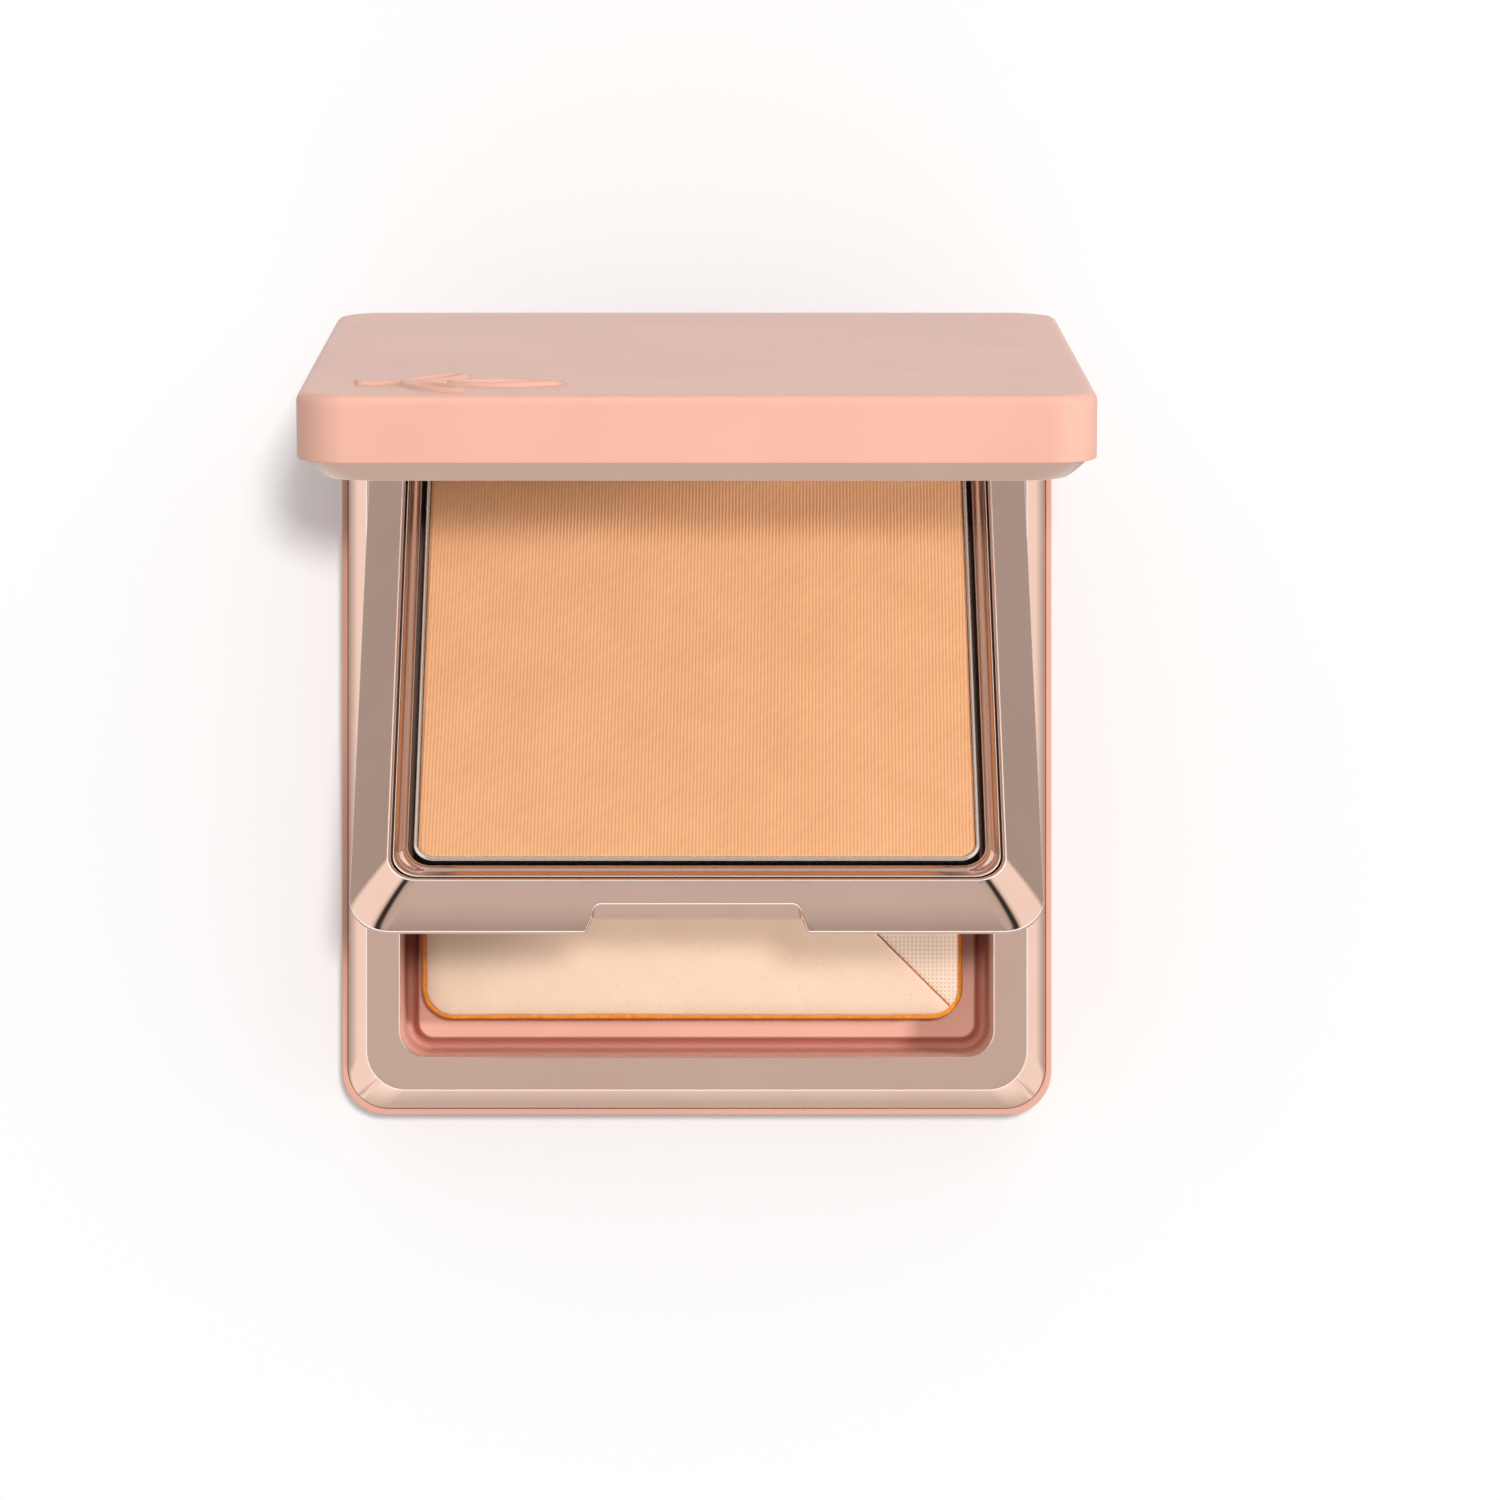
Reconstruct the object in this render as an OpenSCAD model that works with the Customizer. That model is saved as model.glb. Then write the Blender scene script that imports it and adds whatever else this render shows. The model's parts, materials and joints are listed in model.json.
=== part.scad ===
// Square powder compact: a base with a sponge well, a lift-up powder tray and a mirror lid,
// all three turning on two short pins behind the back wall.
// Frame: +Z up, -Y is the front, origin at the centre of the base's bottom face.
// Every piece is drawn as if the compact were closed, then turned to its open angle.

/* [Outline] */
// Width of the compact, left to right
body_w = 72; // [50:1:100]
// Depth of the compact, front to back, without the hinge knuckles
body_d = 72; // [50:1:100]
// Corner radius of the outer shells seen from above
corner_r = 4.4; // [3.6:0.1:7]
// Height of the base up to the plane where base and lid meet
base_h = 10.8; // [10.4:0.1:16]
// Height of the lid above the plane where base and lid meet
lid_h = 8; // [7.9:0.1:12]
// Wall thickness of the outer shells
wall = 1.2; // [0.9:0.1:1.5]
// Radius of the long outer edges of the shells
edge_r = 0.9; // [0.4:0.1:1.4]

/* [Metal frames] */
// Width of the shell's edge left showing beside a metal frame
lip = 0.6; // [0.4:0.05:0.8]
// Height of the frame's chamfer, which makes the groove round the closed compact
groove_h = 1.9; // [1.7:0.1:2.4]
// Distance from the outer face to the flat of the base frame
groove_w = 2.6; // [2.2:0.1:2.8]
// Corner radius of the flat of the base and lid frames
flat_corner_r = 4; // [3:0.1:5]
// Thickness of the flange that sits on the shell's ledge
flange_t = 0.8; // [0.6:0.1:1.2]
// How far the chamfers bow outwards
chamfer_bow = 0.1; // [0.05:0.05:0.3]
// Thickness of the base frame's flat
rim_t = 1; // [0.8:0.1:1.4]

/* [Sponge well] */
// Distance from the outer face to the well's opening
rim_w = 6; // [5.4:0.1:8]
// Depth of the well below the base frame's flat
well_depth = 8; // [6.6:0.1:8.2]
// Wall thickness of the well
well_wall = 0.9; // [0.6:0.1:1]
// Corner radius of the well's opening
well_corner_r = 2.7; // [2:0.1:4]
// Radius between the well's wall and floor
well_fillet = 1.3; // [0.6:0.1:2]
// How much the well's wall leans in down to the fillet
well_draft = 0.3; // [0.1:0.1:0.6]

/* [Powder tray] */
// Distance from the compact's outer face to the foot of the tray
tray_inset = 3.3; // [3.2:0.05:4]
// Width of the tray's sloping border
bevel_w = 3.6; // [3:0.1:4.4]
// Height of the tray's ridge above its foot
bevel_h = 3.6; // [3.2:0.1:3.7]
// How far the sloping border bows outwards
bevel_bow = 0.1; // [0.05:0.05:0.45]
// Corner radius of the tray's foot
tray_corner_r = 4; // [3.4:0.1:5]
// Corner radius of the tray's ridge
ridge_corner_r = 2.9; // [2.4:0.1:3.6]
// Width of the flat ring inside the ridge
ring_w = 1.4; // [1:0.1:2]
// Gap between the flat ring and the powder pan
pan_gap = 0.5; // [0.3:0.1:0.8]
// Wall thickness of the aluminium pan
pan_wall = 0.4; // [0.3:0.05:0.6]
// Depth of the tray's tub below its foot
tub_depth = 2; // [1.6:0.1:2.2]
// Width of the finger notch at the tray's foot
notch_w = 21; // [14:0.5:30]
// Depth of the finger notch into the sloping border
notch_in = 1.9; // [1.2:0.1:2]

/* [Lid] */
// Width of the lid frame's flat edge
bezel_flat = 0.55; // [0.45:0.05:0.6]
// Thickness of the mirror
mirror_t = 1.2; // [1:0.1:1.4]
// Thickness of the tape behind the mirror
tape_t = 0.5; // [0.3:0.1:0.6]
// Height of the raised sprig on the lid's top
motif_h = 0.35; // [0.2:0.05:0.5]
// Line width of the raised sprig
motif_line = 0.5; // [0.4:0.05:0.8]

/* [Sponge] */
// Gap between the sponge and the well's opening, with the sponge in the middle
puff_gap = 2.8; // [2:0.1:6]
// Thickness of the sponge
puff_t = 5.2; // [3:0.1:5.4]
// Corner radius of the sponge
puff_corner_r = 3.2; // [2:0.1:6]
// Thickness of the sponge's facing
facing_t = 0.5; // [0.3:0.1:0.8]
// Sponge's shift to the right in the well
puff_x = -0.45; // [-1:0.05:1]
// Sponge's shift to the back of the well
puff_y = 1.1; // [-1:0.05:1.2]

/* [Hinge] */
// Distance of the hinge axis behind the back face
hinge_out = 1.5; // [1.4:0.05:2]
// Radius of the knuckles
knuckle_r = 2.15; // [1.8:0.05:2.2]
// Width of one knuckle
knuckle_w = 4; // [3:0.1:5]
// Distance from the middle of the compact to the innermost knuckle
hinge_x = 9; // [5:0.5:12]
// Radius of a hinge pin
pin_r = 0.75; // [0.6:0.05:1]
// Thickness of a knuckle's arm
arm_t = 1.4; // [1.2:0.1:1.5]

/* [Closure] */
// Length of a magnet and of its keeper
magnet_len = 12; // [8:0.5:16]
// Distance of a magnet's middle from the middle of the compact
magnet_x = 20; // [16:0.5:22]

/* [Open angles] */
// Angle between the base and the lid
lid_angle = 80; // [0:1:180]
// Angle between the base and the tray
tray_angle = 40; // [0:1:60]

/* [Clearances] */
// Gap between pieces that drop into each other
fit_gap = 0.05; // [0.02:0.01:0.1]
// Radial gap between a pin and the knuckles that turn on it
pin_gap = 0.05; // [0.02:0.01:0.1]
// Gap between neighbouring knuckles
knuckle_gap = 0.15; // [0.1:0.05:0.3]
// Gap between the closed tray and the base frame
foot_gap = 0.05; // [0.03:0.01:0.1]
// Gap between the closed tray and the well's opening
tub_gap = 0.4; // [0.3:0.05:0.6]
// Gap between the closed tray's foot and the lid's rim
cavity_gap = 0.25; // [0.2:0.05:0.4]
// Gap between the closed tray's ridge and the mirror
mirror_gap = 0.5; // [0.3:0.1:0.6]
// Gap between the tray's frame and the flat ring inside it
ring_gap = 0.2; // [0.1:0.05:0.3]

/* [Hidden] */

$fn = 48;
// Segments in each rounded corner, and in each bowed or rounded edge
corner_steps = 8;
edge_steps = 3;
// Length by which a cut runs past the face it opens
over = 0.1;

pink = [0.93, 0.72, 0.66];
rose_gold = [0.72, 0.60, 0.53];
salmon = [0.86, 0.60, 0.52];
cream = [0.95, 0.84, 0.73];
powder = [0.93, 0.71, 0.53];
aluminium = [0.82, 0.80, 0.78];
steel = [0.60, 0.61, 0.63];

// Planes of the base, from the plane where base and lid meet
land_z = base_h - groove_h;
ledge_z = land_z - flange_t;
shell_floor_t = wall + 0.2;
lip_r = corner_r - lip * 0.4;
lip_edge = 0.15;
frame_t = 1;
frame_inner_r = flat_corner_r - 0.4;
frame_step = 0.3;
chamfer_lift = 0.9;
well_floor_z = base_h - well_depth;
well_flange = 0.2;

// The same planes of the lid
lid_land_z = base_h + groove_h;
lid_ledge_z = lid_land_z + flange_t;
lid_roof_t = wall;
bezel_w = tray_inset - bezel_flat - cavity_gap;
cavity_in = bezel_w + bezel_flat;
cavity_r = tray_corner_r + tray_inset - cavity_in;
cavity_wall_h = 1.2;
cavity_slope = 2.4;
mirror_in = cavity_in + cavity_slope;
mirror_r = 2;
mirror_z = base_h + bevel_h + mirror_gap;
mirror_back_z = mirror_z + mirror_t + tape_t;
bezel_back_t = 0.9;
bezel_foot_t = 1.5;
bezel_wall = 0.95;
bezel_wall_r = mirror_r + 0.4;
bezel_wall_z = mirror_z + 0.8;
tape_in = mirror_in + 3;

// Planes of the tray: insets are measured from the tray's foot
tray_w = body_w - 2 * tray_inset;
tray_d = body_d - 2 * tray_inset;
foot_z = base_h + foot_gap;
foot_edge = 0.25;
ridge_land = 0.3;
ridge_z = base_h + bevel_h;
tub_in = rim_w + tub_gap - tray_inset;
tub_wall_min = 0.95;
opening_in = max(bevel_w + ridge_land, tub_in + tub_wall_min + fit_gap - ring_gap);
ring_in = opening_in + ring_gap;
opening_r = ridge_corner_r - 0.2;
ring_sink = 0.05;
ring_z = ridge_z - ring_sink;
ring_r = ridge_corner_r - 0.3;
ring_inner_r = ring_r - 0.3;
ring_t = 0.8;
ring_wall = 0.8;
pan_in = ring_in + ring_w + pan_gap;
pan_r = 2;
tub_wall = ring_in - fit_gap - tub_in;
tub_floor_t = 0.8;
tub_floor_z = base_h - tub_depth;
tub_top_z = ridge_z - 1.2;
web_in = tub_in - 0.5;
web_h = 1.6;
web_gap = 0.1;
tub_lean = 0.3;
tub_edge = 0.4;
glue_t = 0.3;
glue_r = 16;
pan_floor_t = 0.5;
pan_z = tub_floor_z + tub_floor_t + glue_t;
pan_edge = 0.3;
pan_proud = 0.2;
pan_top_z = ring_z + pan_proud;
cake_sink = 0.15;
cake_edge = 0.15;
cake_z = pan_top_z - cake_sink;
notch_corner_r = 0.9;
notch_taper = 0.6;
undercut_h = 0.6;
undercut_in = 0.3;

// Hinge: two groups of knuckles, each base, tray, lid, base from the middle outwards
hinge_y = body_d / 2 + hinge_out;
knuckle_pitch = knuckle_w + knuckle_gap;
hinge_len = 4 * knuckle_w + 3 * knuckle_gap;
pin_short = 0.3;
arm_reach = groove_w + 0.4;
arm_gap = 0.1;
slot_gap = 0.2;
slot_reach = 0.6;

// Magnets under the base frame and steel keepers in the lid frame
magnet_w = 1.8;
magnet_h = 1.9;
magnet_gap = 0.1;
magnet_in = rim_w - well_wall - well_flange - magnet_gap - magnet_w;
keeper_w = 1;
keeper_h = 2;
keeper_in = bezel_w - 0.7;
keeper_z = base_h + 1.3;

// Sprig: its place from the front left corner, its stem and its leaves
sprig_x = 14;
sprig_y = 9;
stem_len = 9;
leaf_len = 8;
tip_leaf_len = 10;
leaf_turn = 48;
leaf_start = -stem_len / 2;
leaf_bow = 0.83;
midrib = 0.6;

// Sponge
puff_edge = 0.8;
puff_slit = 0.15;

// A ring of the outline: [width, depth, corner radius, height]
function ring(inset, r, z) = [body_w - 2 * inset, body_d - 2 * inset, r, z];
function tray_ring(inset, r, z) = [tray_w - 2 * inset, tray_d - 2 * inset, r, z];
function mix(a, b, s) = a + (b - a) * s;

// Rings of a sloping face from one ring to another, bowed outwards and upwards by bow
function bowed(a, b, bow, lift = 1) = [
    for (i = [0:edge_steps])
        let(s = i / edge_steps, swell = 4 * bow * s * (1 - s) / sqrt(2))
        [
            mix(a[0], b[0], s) + 2 * swell,
            mix(a[1], b[1], s) + 2 * swell,
            mix(a[2], b[2], s),
            mix(a[3], b[3], s) + lift * swell
        ]
];

// Points of one ring, corner by corner
function ring_points(q) = [
    for (corner = [0:3], k = [0:corner_steps])
        let(
            turn = 90 * (corner + k / corner_steps),
            side_x = (corner == 0 || corner == 3) ? 1 : -1,
            side_y = corner < 2 ? 1 : -1
        )
        [
            side_x * (q[0] / 2 - q[2]) + q[2] * cos(turn),
            side_y * (q[1] / 2 - q[2]) + q[2] * sin(turn),
            q[3]
        ]
];

// Solid through a list of rings; a loop joins the last ring back to the first
module loft(rings, loop = false) {
    count = 4 * (corner_steps + 1);
    last = len(rings) - 1;
    walls = [
        for (i = [0:(loop ? last : last - 1)], k = [0:count - 1])
            let(next = (i + 1) % (last + 1), j = (k + 1) % count)
            [i * count + k, next * count + k, next * count + j, i * count + j]
    ];
    caps = loop ? [] : [
        [for (k = [0:count - 1]) k],
        [for (k = [count - 1:-1:0]) last * count + k]
    ];
    polyhedron([for (q = rings) each ring_points(q)], concat(walls, caps));
}

// Turns closed pieces to an open angle about the hinge axis
module opened(angle) {
    translate([0, hinge_y, base_h])
        rotate([-angle, 0, 0])
            translate([0, -hinge_y, -base_h])
                children();
}

// Left edge of knuckle number i of the right-hand group
function knuckle_at(i) = hinge_x + i * knuckle_pitch;

// Knuckle number i of both groups: a barrel and an arm between two heights
module knuckles(i, low, high, reach) {
    for (side = [0, 1])
        mirror([side, 0, 0]) {
            translate([knuckle_at(i), hinge_y, base_h])
                rotate([0, 90, 0])
                    cylinder(r = knuckle_r, h = knuckle_w);
            translate([knuckle_at(i), body_d / 2 - reach, base_h + low])
                cube([knuckle_w, reach + hinge_out, high - low]);
        }
}

// Bores of knuckle number i of both groups
module knuckle_bores(i, r) {
    for (side = [0, 1])
        mirror([side, 0, 0])
            translate([knuckle_at(i) - over, hinge_y, base_h])
                rotate([0, 90, 0])
                    cylinder(r = r, h = knuckle_w + 2 * over);
}

// Two bars side by side near the front edge
module front_bars(inset, w, z, h, gap = 0) {
    for (side = [-1, 1])
        translate([side * magnet_x - magnet_len / 2 - gap, inset - body_d / 2 - gap, z - gap])
            cube([magnet_len + 2 * gap, w + 2 * gap, h + 2 * gap]);
}

module base_shell() {
    color(pink)
        loft(concat(
            [for (a = [0:90 / edge_steps:90])
                let(inset = edge_r * (1 - sin(a)))
                ring(inset, corner_r - inset, edge_r * (1 - cos(a)))],
            [
                ring(0, corner_r, land_z - lip_edge),
                ring(lip_edge, corner_r - lip_edge, land_z),
                ring(lip, lip_r, land_z),
                ring(lip, lip_r, ledge_z),
                ring(wall, corner_r - wall, ledge_z),
                ring(wall, corner_r - wall, shell_floor_t)
            ]
        ));
}

module base_frame() {
    foot = lip + fit_gap;
    foot_r = lip_r - fit_gap;
    color(rose_gold)
        difference() {
            union() {
                loft(concat(
                    [ring(foot, foot_r, ledge_z)],
                    bowed(ring(foot, foot_r, land_z),
                          ring(groove_w, flat_corner_r, base_h), chamfer_bow, chamfer_lift),
                    [
                        ring(rim_w, well_corner_r, base_h),
                        ring(rim_w, well_corner_r, base_h - rim_t),
                        ring(groove_w + frame_step, frame_inner_r, base_h - rim_t),
                        ring(foot + frame_t, foot_r - frame_t / 2, ledge_z)
                    ]
                ), loop = true);
                knuckles(0, arm_gap - groove_h, -arm_gap, arm_reach);
                knuckles(3, arm_gap - groove_h, -arm_gap, arm_reach);
            }
            knuckle_bores(0, pin_r + fit_gap / 2);
            knuckle_bores(3, pin_r + fit_gap / 2);
        }
}

module sponge_well() {
    foot = rim_w + well_draft + well_fillet;
    foot_r = well_corner_r - well_draft;
    color(salmon)
        loft(concat(
            [
                ring(foot - well_wall / 2, foot_r, well_floor_z - well_wall),
                ring(rim_w + well_draft - well_wall, well_corner_r, well_floor_z + well_fillet / 2),
                ring(rim_w - well_wall, well_corner_r, base_h - rim_t - flange_t),
                ring(rim_w - well_wall - well_flange, well_corner_r, base_h - rim_t - flange_t),
                ring(rim_w - well_wall - well_flange, well_corner_r, base_h - rim_t),
                ring(rim_w, well_corner_r, base_h - rim_t)
            ],
            [for (a = [0:90 / edge_steps:90])
                let(inset = rim_w + well_draft + well_fillet * (1 - cos(a)))
                ring(inset, foot_r, well_floor_z + well_fillet * (1 - sin(a)))]
        ));
}

module base_magnets() {
    color(steel)
        front_bars(magnet_in, magnet_w, base_h - rim_t - fit_gap - magnet_h, magnet_h);
}

module hinge_pins() {
    color(steel)
        for (side = [0, 1])
            mirror([side, 0, 0])
                translate([hinge_x + pin_short, hinge_y, base_h])
                    rotate([0, 90, 0])
                        cylinder(r = pin_r, h = hinge_len - 2 * pin_short);
}

// A slab of the sponge between two heights above the well's floor
module sponge_slab(low, high, edge = 0) {
    side = rim_w + puff_gap;
    translate([puff_x, puff_y, well_floor_z])
        loft([
            ring(side + edge, puff_corner_r, low),
            ring(side, puff_corner_r, low + edge),
            ring(side, puff_corner_r, high)
        ]);
}

// Half of the sponge's square, in front of (1) or behind (-1) the diagonal that runs
// from the back left corner to the front right corner
module sponge_half(side) {
    translate([puff_x, puff_y, 0])
        rotate([0, 0, -45])
            translate([-body_w, side > 0 ? -body_w - puff_slit / 2 : puff_slit / 2, 0])
                cube([2 * body_w, body_w, base_h]);
}

module sponge_foam() {
    color(cream)
        sponge_slab(0, puff_t - facing_t, puff_edge);
}

module sponge_facing() {
    color(cream)
        intersection() {
            sponge_slab(puff_t - facing_t, puff_t);
            sponge_half(1);
        }
}

module sponge_pocket() {
    color("ivory")
        intersection() {
            sponge_slab(puff_t - facing_t, puff_t);
            sponge_half(-1);
        }
}

// Plan of the finger notch: it narrows inwards and its inner corners are rounded
module notch_plan(depth) {
    inner = notch_w / 2 - notch_taper - notch_corner_r;
    front = -tray_d / 2;
    polygon([
        [-notch_w / 2, front - over],
        [-notch_w / 2, front],
        for (a = [180:-15:90])
            [-inner + notch_corner_r * cos(a), front + depth - notch_corner_r * (1 - sin(a))],
        for (a = [90:-15:0])
            [inner + notch_corner_r * cos(a), front + depth - notch_corner_r * (1 - sin(a))],
        [notch_w / 2, front],
        [notch_w / 2, front - over]
    ]);
}

module tray_frame() {
    color(rose_gold)
        opened(tray_angle)
            difference() {
                union() {
                    loft(concat(
                        [tray_ring(0, tray_corner_r, foot_z)],
                        bowed(tray_ring(0, tray_corner_r, foot_z + foot_edge),
                              tray_ring(bevel_w, ridge_corner_r, ridge_z), bevel_bow),
                        [
                            tray_ring(opening_in, opening_r, ridge_z),
                            tray_ring(opening_in, opening_r, tub_top_z + fit_gap),
                            tray_ring(tub_in + tub_lean - web_gap, ridge_corner_r, tub_top_z + fit_gap),
                            tray_ring(web_in, ridge_corner_r, base_h + web_h),
                            tray_ring(web_in, ridge_corner_r, foot_z)
                        ]
                    ), loop = true);
                    knuckles(1, foot_gap, foot_gap + arm_t, tray_inset + 1);
                }
                knuckle_bores(1, pin_r + pin_gap);
                translate([0, 0, base_h - over])
                    linear_extrude(bevel_h + 2 * over)
                        notch_plan(notch_in);
                translate([0, 0, base_h - over])
                    linear_extrude(undercut_h + over)
                        notch_plan(notch_in + undercut_in);
            }
}

module tray_tub() {
    color(rose_gold)
        opened(tray_angle)
            loft([
                tray_ring(tub_in + tub_edge, opening_r, tub_floor_z),
                tray_ring(tub_in, ridge_corner_r, tub_floor_z + tub_edge),
                tray_ring(tub_in, ridge_corner_r, foot_z),
                tray_ring(web_in + fit_gap, ridge_corner_r, foot_z),
                tray_ring(web_in + fit_gap, ridge_corner_r, base_h + web_h - web_gap),
                tray_ring(tub_in + tub_lean, ridge_corner_r, tub_top_z),
                tray_ring(tub_in + tub_wall, opening_r, tub_top_z),
                tray_ring(tub_in + tub_wall, opening_r, tub_floor_z + tub_floor_t)
            ]);
}

module pan_ring() {
    color(rose_gold)
        opened(tray_angle)
            loft([
                tray_ring(ring_in, ring_r, tub_floor_z + tub_floor_t),
                tray_ring(ring_in, ring_r, ring_z),
                tray_ring(ring_in + ring_w, ring_inner_r, ring_z),
                tray_ring(ring_in + ring_w, ring_inner_r, ring_z - ring_t),
                tray_ring(ring_in + ring_wall, ring_inner_r, ring_z - ring_t),
                tray_ring(ring_in + ring_wall, ring_inner_r, tub_floor_z + tub_floor_t)
            ], loop = true);
}

module powder_pan() {
    color(aluminium)
        opened(tray_angle)
            loft([
                tray_ring(pan_in + pan_edge, pan_r, pan_z),
                tray_ring(pan_in, pan_r, pan_z + pan_edge),
                tray_ring(pan_in, pan_r, pan_top_z),
                tray_ring(pan_in + pan_wall, pan_r - pan_wall, pan_top_z),
                tray_ring(pan_in + pan_wall, pan_r - pan_wall, pan_z + pan_floor_t)
            ]);
}

module pan_glue() {
    color("ivory")
        opened(tray_angle)
            translate([0, 0, tub_floor_z + tub_floor_t])
                cylinder(r = glue_r, h = glue_t);
}

module powder_cake() {
    r = pan_r - pan_wall;
    color(powder)
        opened(tray_angle)
            loft([
                tray_ring(pan_in + pan_wall, r, pan_z + pan_floor_t),
                tray_ring(pan_in + pan_wall, r, cake_z - cake_edge),
                tray_ring(pan_in + pan_wall + cake_edge, r - cake_edge, cake_z)
            ]);
}

// Outline of a pointed leaf, as long as its length and a third as wide, along +X
module leaf_outline(length) {
    arc_r = length * leaf_bow;
    rise = sqrt(pow(arc_r, 2) - pow(length / 2, 2));
    difference() {
        leaf_shape(length, arc_r, rise);
        leaf_shape(length, arc_r - motif_line, rise);
    }
    translate([motif_line, -motif_line / 2])
        square([length * midrib, motif_line]);
}

module leaf_shape(length, r, rise) {
    intersection() {
        translate([length / 2, rise])
            circle(r = r, $fn = 96);
        translate([length / 2, -rise])
            circle(r = r, $fn = 96);
    }
}

// Generic sprig of three leaves, raised on the lid's top near its front left corner
module sprig() {
    translate([sprig_x - body_w / 2, sprig_y - body_d / 2, base_h + lid_h])
        linear_extrude(motif_h) {
            translate([-stem_len, -motif_line / 2])
                square([stem_len, motif_line]);
            translate([-motif_line, 0])
                leaf_outline(tip_leaf_len);
            for (turn = [-leaf_turn, leaf_turn])
                translate([leaf_start, 0])
                    rotate(turn)
                        leaf_outline(leaf_len);
        }
}

module lid_shell() {
    top_z = base_h + lid_h;
    color(pink)
        opened(lid_angle)
            union() {
                loft(concat(
                    [
                        ring(wall, corner_r - wall, top_z - lid_roof_t),
                        ring(wall, corner_r - wall, lid_ledge_z),
                        ring(lip, lip_r, lid_ledge_z),
                        ring(lip, lip_r, lid_land_z),
                        ring(lip_edge, corner_r - lip_edge, lid_land_z),
                        ring(0, corner_r, lid_land_z + lip_edge)
                    ],
                    [for (a = [0:90 / edge_steps:90])
                        let(inset = edge_r * (1 - cos(a)))
                        ring(inset, corner_r - inset, top_z - edge_r * (1 - sin(a)))]
                ));
                sprig();
            }
}

module lid_frame() {
    foot = lip + fit_gap;
    foot_r = lip_r - fit_gap;
    color(rose_gold)
        opened(lid_angle)
            difference() {
                union() {
                    loft(concat(
                        [
                            ring(mirror_in, mirror_r, mirror_back_z),
                            ring(mirror_in, mirror_r, mirror_z),
                            ring(cavity_in, cavity_r, base_h + cavity_wall_h),
                            ring(cavity_in, cavity_r, base_h)
                        ],
                        bowed(ring(bezel_w, flat_corner_r, base_h),
                              ring(foot, foot_r, lid_land_z), chamfer_bow, -chamfer_lift),
                        [
                            ring(foot, foot_r, lid_ledge_z),
                            ring(foot + bezel_foot_t, foot_r - bezel_foot_t / 2, lid_ledge_z),
                            ring(mirror_in - bezel_wall, bezel_wall_r, bezel_wall_z),
                            ring(mirror_in - bezel_wall, bezel_wall_r, mirror_back_z + bezel_back_t)
                        ]
                    ));
                    knuckles(2, arm_gap, groove_h - arm_gap, arm_reach);
                }
                knuckle_bores(2, pin_r + pin_gap);
                for (side = [0, 1])
                    mirror([side, 0, 0])
                        translate([knuckle_at(1) - slot_gap,
                                   body_d / 2 - cavity_in - slot_reach, base_h - over])
                            cube([knuckle_w + 2 * slot_gap, cavity_in + slot_reach + over,
                                  foot_gap + arm_t + slot_gap + over]);
                front_bars(keeper_in, keeper_w, keeper_z, keeper_h, fit_gap);
            }
}

module mirror_glass() {
    color("lightsteelblue")
        opened(lid_angle)
            loft([
                ring(mirror_in + fit_gap, mirror_r - fit_gap, mirror_z),
                ring(mirror_in + fit_gap, mirror_r - fit_gap, mirror_z + mirror_t)
            ]);
}

module mirror_tape() {
    color("white")
        opened(lid_angle)
            loft([
                ring(tape_in, mirror_r, mirror_z + mirror_t),
                ring(tape_in, mirror_r, mirror_back_z)
            ]);
}

module lid_keepers() {
    color(steel)
        opened(lid_angle)
            front_bars(keeper_in, keeper_w, keeper_z, keeper_h);
}

base_shell();
base_frame();
sponge_well();
base_magnets();
hinge_pins();
sponge_foam();
sponge_facing();
sponge_pocket();
tray_frame();
tray_tub();
pan_ring();
powder_pan();
pan_glue();
powder_cake();
lid_shell();
lid_frame();
mirror_glass();  // mirror
mirror_tape();
lid_keepers();
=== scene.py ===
import json
import math

import bmesh
import bpy
from mathutils import Matrix, Vector, noise


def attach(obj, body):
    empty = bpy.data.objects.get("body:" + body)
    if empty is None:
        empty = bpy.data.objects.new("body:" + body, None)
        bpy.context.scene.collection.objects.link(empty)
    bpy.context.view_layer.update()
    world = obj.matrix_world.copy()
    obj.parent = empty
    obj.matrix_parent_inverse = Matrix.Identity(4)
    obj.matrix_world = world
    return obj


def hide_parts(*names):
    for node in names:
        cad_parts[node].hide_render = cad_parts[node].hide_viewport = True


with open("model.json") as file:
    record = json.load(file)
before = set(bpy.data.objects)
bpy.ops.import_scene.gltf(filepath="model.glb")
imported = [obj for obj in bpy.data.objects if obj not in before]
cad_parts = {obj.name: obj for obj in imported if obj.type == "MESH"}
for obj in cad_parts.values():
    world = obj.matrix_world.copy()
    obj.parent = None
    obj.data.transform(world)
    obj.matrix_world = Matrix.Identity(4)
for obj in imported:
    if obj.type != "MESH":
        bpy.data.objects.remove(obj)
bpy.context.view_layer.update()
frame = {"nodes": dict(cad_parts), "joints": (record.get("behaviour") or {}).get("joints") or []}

MM = 0.001

# ---------------------------------------------------------------- the frame, in millimetres

JOINTS = {joint["name"]: joint for joint in frame["joints"]}
HINGE = Vector(JOINTS["tray_hinge"]["pos_m"]) / MM
PLANE = HINGE.z                                  # where base and lid meet
TRAY_ANGLE = -JOINTS["tray_hinge"]["range_deg"][0]
LID_ANGLE = TRAY_ANGLE - JOINTS["lid_hinge"]["range_deg"][0]


def opened(angle):
    """The turn about the hinge axis that takes a closed piece to its open angle, in mm."""
    turn = Matrix.Rotation(math.radians(-angle), 4, "X")
    return Matrix.Translation(HINGE) @ turn @ Matrix.Translation(-HINGE)


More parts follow.
